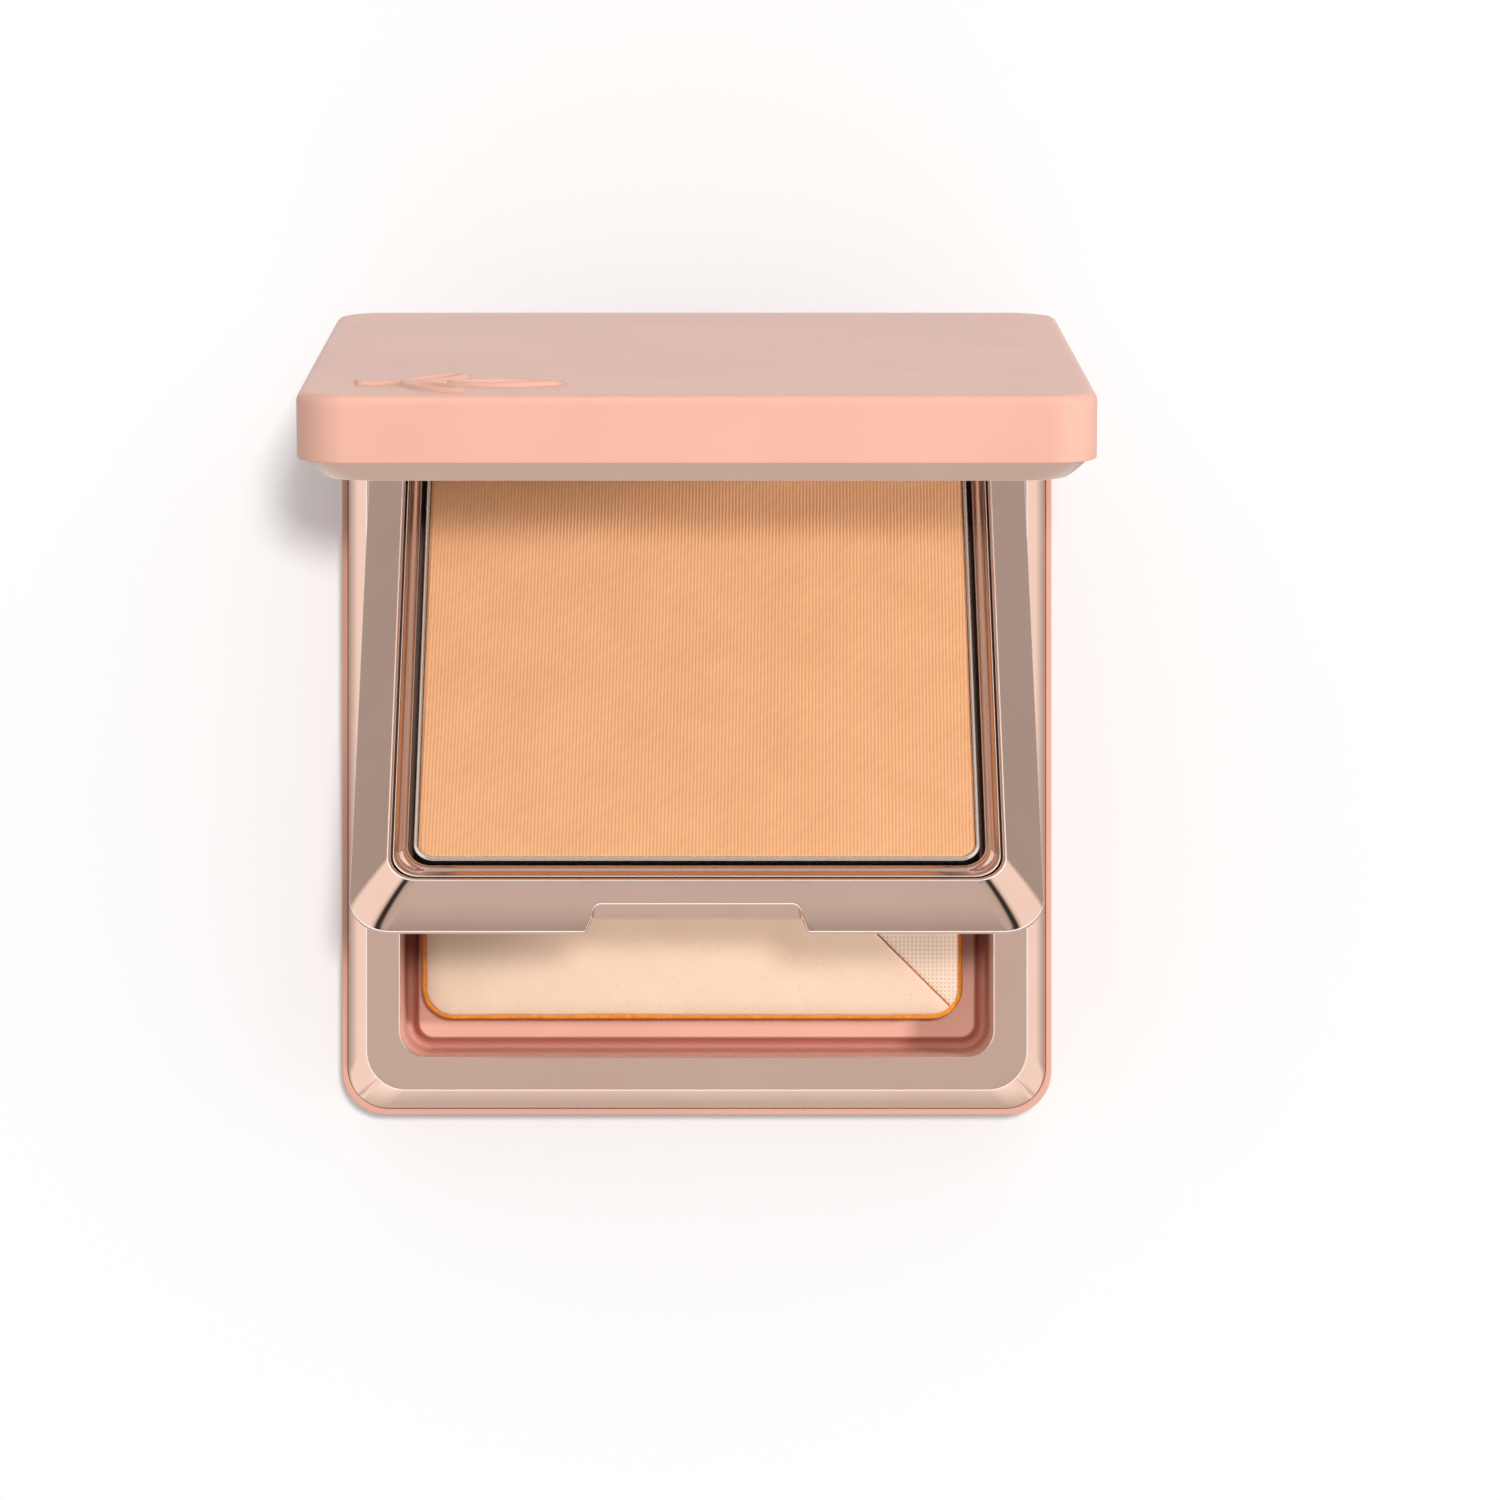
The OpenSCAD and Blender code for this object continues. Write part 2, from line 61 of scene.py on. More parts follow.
def closed_box(node, angle=0):
    """Lowest and highest corner, in mm, of a CAD node with the compact closed."""
    back = opened(angle).inverted()
    points = [back @ (v.co / MM) for v in frame["nodes"][node].data.vertices]
    low = Vector([min(p[i] for p in points) for i in range(3)])
    high = Vector([max(p[i] for p in points) for i in range(3)])
    return low, high


BASE_LOW, BASE_HIGH = closed_box("base_shell")
LID_LOW, LID_HIGH = closed_box("lid_shell", LID_ANGLE)
BODY = (BASE_HIGH.x - BASE_LOW.x, BASE_HIGH.y - BASE_LOW.y)
TRAY_LOW, TRAY_HIGH = closed_box("tray_frame", TRAY_ANGLE)
TRAY = (TRAY_HIGH.x - TRAY_LOW.x,) * 2
RING_LOW, RING_HIGH = closed_box("pan_ring", TRAY_ANGLE)
TUB_LOW, TUB_HIGH = closed_box("tray_tub", TRAY_ANGLE)
PAN_LOW, PAN_HIGH = closed_box("powder_pan", TRAY_ANGLE)
CAKE_LOW, CAKE_HIGH = closed_box("powder_cake", TRAY_ANGLE)
MIRROR_LOW, MIRROR_HIGH = closed_box("mirror", LID_ANGLE)
LID_FRAME_HIGH = closed_box("lid_frame", LID_ANGLE)[1]
WELL_LOW, WELL_HIGH = closed_box("sponge_well")
FOAM_LOW, FOAM_HIGH = closed_box("sponge_foam")
FACING_HIGH = closed_box("sponge_facing")[1]

# Shells and metal frames, as in the CAD
CORNER_R = 4.4
WALL = 1.2
EDGE_R = 0.9
LIP = 0.6
FIT_GAP = 0.05
FLANGE_T = 0.8
GROOVE_W = 2.6
FLAT_R = 4.0
RIM_T = 1.0
RIM_W = 6.0
WELL_R = 2.7
WELL_WALL = 0.9
WELL_DRAFT = 0.3
MOAT_W = 1.4
MOAT_H = 0.75
MOAT_PROFILE = ((0.2, 0.5, 0.1), (0.32, 0.85, 0.6), (0.5, 1, 1), (0.68, 0.85, 1), (0.8, 0.5, 0.8),
                (0.9, 0.15, 0.3), (1.0, 0, 0))   # across it, down it, and how much painted shade darkens it
CHAMFER_BOW = 0.08
TRAY_INSET = (BODY[0] - TRAY[0]) / 2
TRAY_R = 4.0
BEVEL_W = 3.6
BEVEL_BOW = 0.1
RIDGE_R = 2.9
RIDGE_LAND = 0.3
NOTCH_W = 21.0
NOTCH_IN = 1.9
NOTCH_TAPER = 0.6
NOTCH_R = 0.9
RING_W = 1.4
PAN_WALL = 0.4
BEZEL_FLAT = 0.55
CAVITY_GAP = 0.25
KNUCKLE_R = 2.15
KNUCKLE_W = 4.0
KNUCKLE_GAP = 0.15
HINGE_X = 9.0
PIN_R = 0.75
ARM_T = 1.4
MOTIF_H = 0.35

LAND_Z = BASE_HIGH.z
LEDGE_Z = LAND_Z - FLANGE_T
LID_TOP = LID_HIGH.z - MOTIF_H
LID_LAND_Z = LID_LOW.z
LID_LEDGE_Z = LID_LAND_Z + FLANGE_T
LIP_R = CORNER_R - LIP * 0.4
FOOT_Z = TRAY_LOW.z if TRAY_LOW.z > PLANE else PLANE + FIT_GAP
RIDGE_Z = TRAY_HIGH.z

# ---------------------------------------------------------------- materials


class Nodes:
    """Short spelling for a material's node tree."""

    def __init__(self, name):
        self.material = bpy.data.materials.new(name)
        self.material.use_nodes = True
        self.tree = self.material.node_tree
        self.shader = self.tree.nodes["Principled BSDF"]

    def add(self, kind, **settings):
        made = self.tree.nodes.new(kind)
        for key, value in settings.items():
            if key in made.inputs:
                made.inputs[key].default_value = value
            else:
                setattr(made, key, value)
        return made

    def link(self, output, target):
        self.tree.links.new(output, target)

    def set(self, **values):
        for key, value in values.items():
            self.shader.inputs[key.replace("_", " ")].default_value = value

    def position(self, scale=(1, 1, 1), turn=(0, 0, 0)):
        """Object coordinates in millimetres, scaled and turned."""
        place = self.add("ShaderNodeTexCoord")
        mapping = self.add("ShaderNodeMapping")
        mapping.inputs["Scale"].default_value = [s / MM for s in scale]
        mapping.inputs["Rotation"].default_value = [math.radians(t) for t in turn]
        self.link(place.outputs["Object"], mapping.inputs["Vector"])
        return mapping.outputs["Vector"]

    def noise(self, size, detail=3.0, rough=0.55, scale=(1, 1, 1)):
        """Noise whose features are about size mm across."""
        made = self.add("ShaderNodeTexNoise", Scale=1.0, Detail=detail, Roughness=rough)
        self.link(self.position([s / size for s in scale]), made.inputs["Vector"])
        return made.outputs["Fac"]

    def ramp(self, source, stops):
        """Colour ramp from (place, colour) pairs."""
        made = self.add("ShaderNodeValToRGB")
        spots = made.color_ramp.elements
        while len(spots) < len(stops):
            spots.new(0.5)
        for spot, (place, colour) in zip(spots, stops):
            spot.position = place
            spot.color = (*colour, 1) if len(colour) == 3 else colour
        self.link(source, made.inputs["Fac"])
        return made.outputs["Color"]

    def span(self, source, low, high):
        """A value from 0 to 1 mapped to the span from low to high."""
        made = self.add("ShaderNodeMapRange")
        made.inputs["To Min"].default_value = low
        made.inputs["To Max"].default_value = high
        self.link(source, made.inputs["Value"])
        return made.outputs["Result"]

    def math(self, operation, first, second=None):
        made = self.add("ShaderNodeMath", operation=operation)
        for i, value in enumerate((first, second)):
            if value is None:
                continue
            if isinstance(value, (int, float)):
                made.inputs[i].default_value = value
            else:
                self.link(value, made.inputs[i])
        return made.outputs["Value"]

    def bump(self, height, depth, strength=1.0):
        """Bump of depth mm on the shader's normal."""
        made = self.add("ShaderNodeBump", Strength=strength, Distance=depth * MM)
        self.link(height, made.inputs["Height"])
        self.link(made.outputs["Normal"], self.shader.inputs["Normal"])


def srgb(red, green, blue):
    """Linear colour of an 8-bit sRGB one."""
    return tuple(((v / 255 + 0.055) / 1.055) ** 2.4 for v in (red, green, blue))


def pink_lacquer():
    n = Nodes("pink_lacquer")
    blotch = n.noise(18, detail=2)
    n.link(n.ramp(blotch, [(0.35, (0.48, 0.256, 0.194)), (0.65, (0.504, 0.273, 0.208))]),
           n.shader.inputs["Base Color"])
    n.link(n.span(n.noise(3), 0.30, 0.38), n.shader.inputs["Roughness"])
    n.set(Coat_Weight=0.08, Coat_Roughness=0.15, Specular_IOR_Level=0.3)
    n.bump(n.noise(0.35, detail=2), 0.002, 0.5)
    return n.material


def rose_metal():
    """Rose-gold metallising on moulded plastic, paler and duller on its rounded edges: the paler
    colour there is a painted highlight.
    """
    n = Nodes("rose_metal")
    edge = n.add("ShaderNodeAttribute", attribute_name="edge").outputs["Fac"]
    tone = n.ramp(n.noise(9, detail=2), [(0.3, (0.63, 0.43, 0.345)), (0.7, (0.65, 0.45, 0.365))])
    mixed = n.add("ShaderNodeMix", data_type="RGBA")
    n.link(edge, mixed.inputs["Factor"])
    n.link(tone, mixed.inputs[6])
    # painted highlight: the rounded edges are paled towards this colour
    mixed.inputs[7].default_value = (0.95, 0.84, 0.77, 1)
    n.link(mixed.outputs[2], n.shader.inputs["Base Color"])
    gloss = n.span(n.noise(2.2, detail=4), 0.06, 0.09)
    n.link(n.math("ADD", gloss, n.math("MULTIPLY", edge, 0.4)), n.shader.inputs["Roughness"])
    n.set(Metallic=1.0)
    n.bump(n.noise(1.5, detail=2), 0.0004, 0.3)
    return n.material


def well_plastic():
    """Translucent salmon plastic, darker down in its groove, where shade is painted."""
    n = Nodes("well_plastic")
    edge = n.add("ShaderNodeAttribute", attribute_name="edge").outputs["Fac"]
    tone = n.ramp(n.noise(12), [(0.35, (0.63, 0.34, 0.26)), (0.65, (0.66, 0.36, 0.275))])
    mixed = n.add("ShaderNodeMix", data_type="RGBA")
    n.link(edge, mixed.inputs["Factor"])
    n.link(tone, mixed.inputs[6])
    # painted shade: the groove is darkened towards this deep red
    mixed.inputs[7].default_value = (0.33, 0.1, 0.07, 1)
    n.link(mixed.outputs[2], n.shader.inputs["Base Color"])
    n.link(n.span(n.noise(1.5), 0.3, 0.38), n.shader.inputs["Roughness"])
    n.set(Specular_IOR_Level=0.45)
    n.bump(n.noise(0.25, detail=2), 0.003, 0.5)
    return n.material


def sponge_skin():
    """Smooth flocked facing: a fine mealy surface with open pores."""
    n = Nodes("sponge_skin")
    tone = n.ramp(n.noise(6, detail=4), [(0.3, (0.6, 0.425, 0.31)), (0.7, (0.63, 0.455, 0.34))])
    pores = n.add("ShaderNodeTexVoronoi", Scale=1.0)
    n.link(n.position((1.6, 1.6, 1.6)), pores.inputs["Vector"])
    specks = n.ramp(pores.outputs["Distance"], [(0.06, (0.45, 0.3, 0.22)), (0.16, (1, 1, 1))])
    mixed = n.add("ShaderNodeMix", data_type="RGBA", blend_type="MULTIPLY")
    mixed.inputs["Factor"].default_value = 0.35
    n.link(tone, mixed.inputs[6])
    n.link(specks, mixed.inputs[7])
    n.link(mixed.outputs[2], n.shader.inputs["Base Color"])
    n.set(Roughness=0.85, Sheen_Weight=0.25, Sheen_Roughness=0.4, Specular_IOR_Level=0.2)
    n.bump(n.noise(0.22, detail=4, rough=0.7), 0.05, 0.6)
    return n.material


def sponge_foam():
    """Orange latex foam, open-celled at its cut edge."""
    n = Nodes("sponge_foam")
    n.link(n.ramp(n.noise(0.5, detail=4), [(0.3, (0.56, 0.16, 0.015)), (0.7, (0.72, 0.25, 0.035))]),
           n.shader.inputs["Base Color"])
    n.set(Roughness=0.9, Specular_IOR_Level=0.2)
    n.bump(n.noise(0.25, detail=4, rough=0.7), 0.12, 0.9)
    return n.material


WAVE_UNIT = math.tau / 20                        # a wave texture's own length at scale 1


def weave(n, pitch, turn):
    """Heights of the two sets of threads of a plain weave, pitch mm apart, turned about Z."""
    bands = []
    for i, angle in enumerate((turn, turn + 90)):
        wave = n.add("ShaderNodeTexWave", Scale=1.0, Distortion=0.6, Detail=1.0)
        wave.bands_direction = "X"
        wave.inputs["Detail Scale"].default_value = 0.4
        n.link(n.position([WAVE_UNIT / pitch] * 3, (0, 0, angle)), wave.inputs["Vector"])
        bands.append(wave.outputs["Fac"])
    return bands


def gauze():
    n = Nodes("gauze")
    first, second = weave(n, 0.42, 0)
    height = n.math("MAXIMUM", first, second)
    # painted shade: the colour is darker between the threads, where the weave lies low
    n.link(n.ramp(height, [(0.2, (0.5, 0.35, 0.26)), (0.6, (0.63, 0.475, 0.37))]),
           n.shader.inputs["Base Color"])
    n.set(Roughness=0.8, Sheen_Weight=0.2, Specular_IOR_Level=0.2)
    n.bump(height, 0.06, 0.7)
    return n.material


RIB_PITCH = 0.33


def powder():
    """Pressed powder with the mark of the pressing cloth: slightly slanting beaded ribs."""
    n = Nodes("powder")
    bands = []
    for pitch, slant in ((RIB_PITCH, 5), (RIB_PITCH * 1.1, 80)):
        wave = n.add("ShaderNodeTexWave", Scale=1.0, Distortion=1.1, Detail=2.0)
        wave.bands_direction = "X"
        wave.inputs["Detail Scale"].default_value = 0.6
        n.link(n.position([WAVE_UNIT / pitch] * 3, (-TRAY_ANGLE, 0, slant)), wave.inputs["Vector"])
        bands.append(wave.outputs["Fac"])
    ribs, beads = bands
    height = n.math("ADD", n.math("MULTIPLY", ribs, 0.76), n.math("MULTIPLY", beads, 0.24))
    grain = n.math("ADD", height, n.math("MULTIPLY", n.noise(0.12, detail=2), 0.5))
    tone = n.ramp(n.noise(5, detail=5), [(0.3, (0.6, 0.305, 0.155)), (0.7, (0.635, 0.33, 0.172))])
    mixed = n.add("ShaderNodeMix", data_type="RGBA", blend_type="MULTIPLY")
    mixed.inputs["Factor"].default_value = 1.0
    n.link(tone, mixed.inputs[6])
    # painted shade: the colour is a little darker in the hollows between the ribs
    n.link(n.ramp(height, [(0.1, (0.92, 0.89, 0.86)), (0.65, (1, 1, 1))]), mixed.inputs[7])
    n.link(mixed.outputs[2], n.shader.inputs["Base Color"])
    n.set(Roughness=0.9, Specular_IOR_Level=0.15)
    n.bump(grain, 0.04, 0.9)
    return n.material


def aluminium():
    n = Nodes("pan_aluminium")
    n.set(Base_Color=(0.62, 0.54, 0.49, 1), Metallic=1.0)
    brushed = n.noise(0.8, detail=4, scale=(1, 6, 1))
    n.link(n.span(brushed, 0.22, 0.34), n.shader.inputs["Roughness"])
    n.bump(n.noise(0.3), 0.002, 0.5)
    return n.material


def steel():
    n = Nodes("plain_steel")
    n.set(Base_Color=(*srgb(170, 170, 174), 1), Metallic=1.0)
    n.link(n.span(n.noise(0.5, scale=(6, 1, 1)), 0.25, 0.4), n.shader.inputs["Roughness"])
    return n.material


def mirror_silver():
    n = Nodes("mirror_silver")
    n.set(Base_Color=(*srgb(238, 240, 240), 1), Metallic=1.0)
    n.link(n.span(n.noise(20), 0.015, 0.03), n.shader.inputs["Roughness"])
    return n.material


def tub_plastic():
    n = Nodes("tub_plastic")
    n.link(n.ramp(n.noise(10), [(0.35, srgb(196, 158, 142)), (0.65, srgb(202, 165, 149))]),
           n.shader.inputs["Base Color"])
    n.link(n.span(n.noise(1.5), 0.3, 0.4), n.shader.inputs["Roughness"])
    n.set(Metallic=0.6)
    n.bump(n.noise(0.3), 0.003, 0.5)
    return n.material


def adhesive():
    n = Nodes("adhesive")
    n.link(n.ramp(n.noise(2), [(0.3, srgb(225, 221, 210)), (0.7, srgb(238, 234, 224))]),
           n.shader.inputs["Base Color"])
    n.set(Roughness=0.6)
    n.bump(n.noise(0.4), 0.02, 0.6)
    return n.material


PINK = pink_lacquer()
ROSE = rose_metal()
STEEL = steel()
ADHESIVE = adhesive()

# ---------------------------------------------------------------- lofted shapes

CORNER_STEPS = 14
BOW_STEPS = 8
ROUND_STEPS = 4
SEAM_TURN = 0.4


def corner_spot(corner, turn):
    """A place on one corner's arc of a rounded rectangle, turned so many degrees along it."""
    side_x = 1 if corner in (0, 3) else -1
    side_y = 1 if corner < 2 else -1
    angle = math.radians(90 * corner + turn)

    def spot(half_w, half_d, r):
        return Vector((side_x * (half_w - r) + r * math.cos(angle),
                       side_y * (half_d - r) + r * math.sin(angle)))

    return spot


def side_spot(corner, share):
    """A place on the straight side that follows a corner."""
    start = corner_spot(corner, 90)
    end = corner_spot((corner + 1) % 4, 0)

    def spot(*sizes):
        return start(*sizes).lerp(end(*sizes), share)

    return spot


def front_spot(x):
    """A place on the front side, at x."""

    def spot(half_w, half_d, r):
        return Vector((x, -half_d))

    return spot


def columns(front=(), seam=False, side=0):
    """A loft's columns round a rounded square, each a spot, its x if it was asked for on the
    front side, and whether the seam runs down it. With seam, the front corners get a fine
    groove at 45 degrees. side is how many columns each straight side has."""
    made = []
    for corner in range(4):
        turns = {90 * k / CORNER_STEPS for k in range(CORNER_STEPS + 1)}
        seamed = seam and corner in (2, 3)
        if seamed:
            turns |= {45 - SEAM_TURN, 45, 45 + SEAM_TURN}
        for turn in sorted(turns):
            made.append((corner_spot(corner, turn), None, seamed and turn == 45))
        if corner == 2:
            made += [(front_spot(x), x, False) for x in front]
        made += [(side_spot(corner, (k + 1) / (side + 1)), None, False) for k in range(side)]
    return made


def place(spot, size, point):
    """A profile point (inset, height, corner radius, shade) set on a column's spot."""
    inset, z, r = point[:3]
    flat = spot(size[0] / 2 - inset, size[1] / 2 - inset, r)
    return Vector((flat.x, flat.y, z))


def mix(a, b, s):
    return tuple(p + (q - p) * s for p, q in zip(a, b))


def bowed(a, b, bow, side=1):
    """Points of an arc from a to b, bowed by bow mm outwards, and upwards for side 1."""
    made = []
    run = math.hypot(b[0] - a[0], b[1] - a[1])
    out = (-abs(b[1] - a[1]) / run, side * abs(b[0] - a[0]) / run)
    for k in range(BOW_STEPS + 1):
        s = k / BOW_STEPS
        swell = 4 * bow * s * (1 - s)
        point = mix(a[:3], b[:3], s)
        round_off = a[3] if k == 0 else b[3] if k == BOW_STEPS else 0
        made.append((point[0] + out[0] * swell, point[1] + out[1] * swell, point[2], round_off))
    return made


def rounded(points, loop):
    """Profile points (inset, height, corner radius, fillet) with each fillet drawn as an arc.
    The fourth number of what it gives back says whether the point is on a fillet. A point
    with a fifth number brings its own."""
    made = []
    count = len(points)
    for i, point in enumerate(points):
        fillet = point[3]
        ends = not loop and i in (0, count - 1)
        if ends or fillet <= 0:
            made.append((*point[:3], point[4] if len(point) > 4 else 0))
            continue
        here = Vector(point[:2])
        before = points[i - 1]
        after = points[(i + 1) % count]
        to_before = Vector(before[:2]) - here
        to_after = Vector(after[:2]) - here
        half = to_before.angle(to_after) / 2
        reach = min(fillet / math.tan(half), 0.45 * to_before.length, 0.45 * to_after.length)
        fillet = reach * math.tan(half)
        middle = (to_before.normalized() + to_after.normalized()).normalized()
        centre = here + middle * (fillet / math.sin(half))
        start = here + to_before.normalized() * reach - centre
        end = here + to_after.normalized() * reach - centre
        r_start = mix(point[2:3], before[2:3], reach / to_before.length)[0]
        r_end = mix(point[2:3], after[2:3], reach / to_after.length)[0]
        sweep = start.angle_signed(end)
        for k in range(ROUND_STEPS + 1):
            s = k / ROUND_STEPS
            spoke = Matrix.Rotation(-sweep * s, 2) @ start
            made.append((centre.x + spoke.x, centre.y + spoke.y, r_start + (r_end - r_start) * s,
                         1 if 0 < k < ROUND_STEPS else 0))
    return made


def loft(size, profile, loop=False, front=(), seam=None, side=0):
    """Bmesh through a profile swept round a rounded square. profile is a list of points, or
    a function of the place along the front side. seam is the depth of the corner seams. Each
    vertex keeps its point's shade, which materials read as "edge" for painted highlights and
    painted shade."""
    bm = bmesh.new()
    edge = bm.verts.layers.float.new("edge")
    rows = []
    for spot, x, seamed in columns(front, seam is not None, side):
        points = rounded(profile(x) if callable(profile) else profile, loop)
        if seamed:
            points = [(p[0] + seam, p[1] - seam, *p[2:]) if on_chamfer(p) else p for p in points]
        rows.append([bm.verts.new(place(spot, size, p)) for p in points])
        for made, point in zip(rows[-1], points):
            made[edge] = point[3]
    across = len(rows[0])
    for here, there in zip(rows, rows[1:] + rows[:1]):
        for i in range(across if loop else across - 1):
            j = (i + 1) % across
            bm.faces.new((here[i], there[i], there[j], here[j]))
    if not loop:
        bm.faces.new([row[0] for row in reversed(rows)])
        bm.faces.new([row[-1] for row in rows])
    return bm


def on_chamfer(point):
    """Whether a profile point lies on the base frame's sloping border."""
    return LAND_Z + 0.05 < point[1] and point[0] < GROOVE_W


def revolve(profile, x, steps=40):
    """Bmesh of a closed profile of (offset along X, radius) turned about the hinge axis."""
    bm = bmesh.new()
    rows = []
    for k in range(steps):
        a = 2 * math.pi * k / steps
        rows.append([bm.verts.new((x + p[0], HINGE.y + p[1] * math.cos(a),
                                   HINGE.z + p[1] * math.sin(a))) for p in profile])
    for k in range(steps):
        here, there = rows[k], rows[(k + 1) % steps]
        for i in range(len(profile)):
            j = (i + 1) % len(profile)
            bm.faces.new((here[i], here[j], there[j], there[i]))
    return bm


def block(low, high, edge=0.12):
    """Bmesh of a box with rounded edges."""
    bm = bmesh.new()
    bmesh.ops.create_cube(bm, size=1)
    for v in bm.verts:
        v.co = Vector([low[i] + (v.co[i] + 0.5) * (high[i] - low[i]) for i in range(3)])
    if edge:
        bmesh.ops.bevel(bm, geom=bm.edges[:], offset=edge, segments=2, affect="EDGES", profile=0.5)
    return bm


def join(target, *parts):
    """Adds the faces of the parts to the target bmesh."""
    for part in parts:
        made = {v: target.verts.new(v.co) for v in part.verts}
        for f in part.faces:
            target.faces.new([made[v] for v in f.verts])
        part.free()
    return target


def piece(name, bm, body, material, nodes=(), angle=0, soften=True):
    """Turns a closed-pose bmesh in mm into a piece that rides on a body at its open angle."""
    bmesh.ops.recalc_face_normals(bm, faces=bm.faces)
    bm.transform(opened(angle))
    bm.transform(Matrix.Scale(MM, 4))
    mesh = bpy.data.meshes.new(name)
    for f in bm.faces:
        f.smooth = True
    bm.to_mesh(mesh)
    bm.free()
    mesh.materials.append(material)
    made = bpy.data.objects.new(name, mesh)
    bpy.context.scene.collection.objects.link(made)
    if soften:
        modifier = made.modifiers.new("normals", "WEIGHTED_NORMAL")
        modifier.weight = 100
    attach(made, body)
    if nodes:
        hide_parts(*nodes)
    return made


def cut(made, cutter_bm, angle=0):
    """Takes a closed-pose bmesh in mm away from a piece."""
    cutter_bm.transform(opened(angle))
    cutter_bm.transform(Matrix.Scale(MM, 4))
    mesh = bpy.data.meshes.new("cutter")
    cutter_bm.to_mesh(mesh)
    cutter_bm.free()
    cutter = bpy.data.objects.new("cutter", mesh)
    bpy.context.scene.collection.objects.link(cutter)
    modifier = made.modifiers.new("cut", "BOOLEAN")
    modifier.operation = "DIFFERENCE"
    modifier.solver = "EXACT"
    modifier.object = cutter
    made.modifiers.move(len(made.modifiers) - 1, 0)
    graph = bpy.context.evaluated_depsgraph_get()
    softened = made.modifiers.get("normals")
    if softened:
        softened.show_viewport = False
    graph.update()
    cut_mesh = bpy.data.meshes.new_from_object(made.evaluated_get(graph))
    made.modifiers.remove(modifier)
    if softened:
        softened.show_viewport = True
    made.data = cut_mesh
    bpy.data.objects.remove(cutter)


def knuckle(i, side, low, high, reach):
    """Knuckle number i from the middle of a group, with its arm between two heights."""
    start = HINGE_X + i * (KNUCKLE_W + KNUCKLE_GAP)
    bore = PIN_R + FIT_GAP
    ease = 0.15
    ring = [(0, bore), (0, KNUCKLE_R - ease), (ease * 0.3, KNUCKLE_R - ease * 0.3),
            (ease, KNUCKLE_R), (KNUCKLE_W - ease, KNUCKLE_R),
            (KNUCKLE_W - ease * 0.3, KNUCKLE_R - ease * 0.3), (KNUCKLE_W, KNUCKLE_R - ease),
            (KNUCKLE_W, bore)]
    x = start if side > 0 else -start - KNUCKLE_W
    barrel = revolve(ring, x)
    arm = block((x, BODY[1] / 2 - reach, PLANE + low),
                (x + KNUCKLE_W, HINGE.y - PIN_R - 0.3, PLANE + high))
    return join(barrel, arm)


def knuckles(bm, numbers, low, high, reach):
    for i in numbers:
        for side in (-1, 1):
            join(bm, knuckle(i, side, low, high, reach))
    return bm


# ---------------------------------------------------------------- base


def base_shell():
    floor = BASE_LOW.z + WALL + 0.2
    profile = [
        (EDGE_R * 2, BASE_LOW.z, CORNER_R - EDGE_R, 0),
        (0, BASE_LOW.z, CORNER_R, EDGE_R),
        (0, LAND_Z, CORNER_R, 0.15),
        (LIP, LAND_Z, LIP_R, 0.08),
        (LIP, LEDGE_Z, LIP_R, 0),
        (WALL, LEDGE_Z, CORNER_R - WALL, 0),
        (WALL, floor, CORNER_R - WALL, 0),
        (WALL + 1, floor, CORNER_R - WALL - 1, 0),
    ]
    piece("base_shell_skin", loft(BODY, profile), "base", PINK, ["base_shell"])


def base_frame():
    foot = LIP + FIT_GAP
    foot_r = LIP_R - FIT_GAP
    profile = [
        (foot, LEDGE_Z, foot_r, 0),
        *bowed((foot, LAND_Z, foot_r, 0.06), (GROOVE_W, PLANE, FLAT_R, 0.22), CHAMFER_BOW),
        (GROOVE_W + 0.4, PLANE, FLAT_R - 0.2, 0),
        (RIM_W - 0.4, PLANE, WELL_R + 0.1, 0),
        (RIM_W, PLANE, WELL_R, 0.2),
        (RIM_W, PLANE - RIM_T, WELL_R, 0),
        (GROOVE_W + 0.3, PLANE - RIM_T, FLAT_R - 0.4, 0),
        (foot + 1, LEDGE_Z, foot_r - 0.6, 0),
    ]
    bm = loft(BODY, profile, loop=True, seam=0.035)
    knuckles(bm, (0, 3), -1.8, -0.1, GROOVE_W + 0.4)
    piece("base_frame_metal", bm, "base", ROSE, ["base_frame"])


def sponge_well():
    inner = RIM_W + WELL_DRAFT
    floor = WELL_LOW.z + WELL_WALL
    under = PLANE - RIM_T - FLANGE_T
    outer = RIM_W - WELL_WALL
    profile = [
        (outer + 3, WELL_LOW.z, WELL_R, 0),
        (outer + WELL_DRAFT, WELL_LOW.z, WELL_R, 1.2),
        (outer, under, WELL_R, 0),
        (outer - 0.2, under, WELL_R, 0),
        (outer - 0.2, WELL_HIGH.z, WELL_R, 0),
        (RIM_W, WELL_HIGH.z, WELL_R, 0),
        (inner, floor + 1, WELL_R - 0.1, 0),
        (inner + 0.12, floor, WELL_R - 0.2, 0),
        # each moat point carries how much painted shade darkens it
        *[(inner + MOAT_W * s, floor - MOAT_H * drop, WELL_R - 0.3 - s, 0, shade)
          for s, drop, shade in MOAT_PROFILE],
        (inner + 5, floor, WELL_R - 1.5, 0),
    ]
    piece("sponge_well_tub", loft(BODY, profile), "base", well_plastic(),
          ["sponge_well"])


# ---------------------------------------------------------------- sponge


PUFF_R = 3.2
PUFF_BULGE = 0.3
PUFF_COLUMNS = 28
PUFF_LIP = 2.3
PUFF_DROP = 0.85
SKIN_T = 0.3
SKIN_IN = 0.5
SLIT_W = 0.16
SLIT_LIPS = (0.1, 0.22, 0.4, 0.75, 1.3)


def puff_top(inset):
    """Height of the sponge's upper face, which rolls down towards its rim."""
    rise = 1 - min(inset / PUFF_LIP, 1)
    return FACING_HIGH.z - 0.08 - PUFF_DROP * rise ** 2


def puff_inner(insets, height, drop):
    """Profile points over the sponge's face at these insets."""
    return [(i, height(i) - drop, max(PUFF_R - i, 0.25), 0) for i in insets]


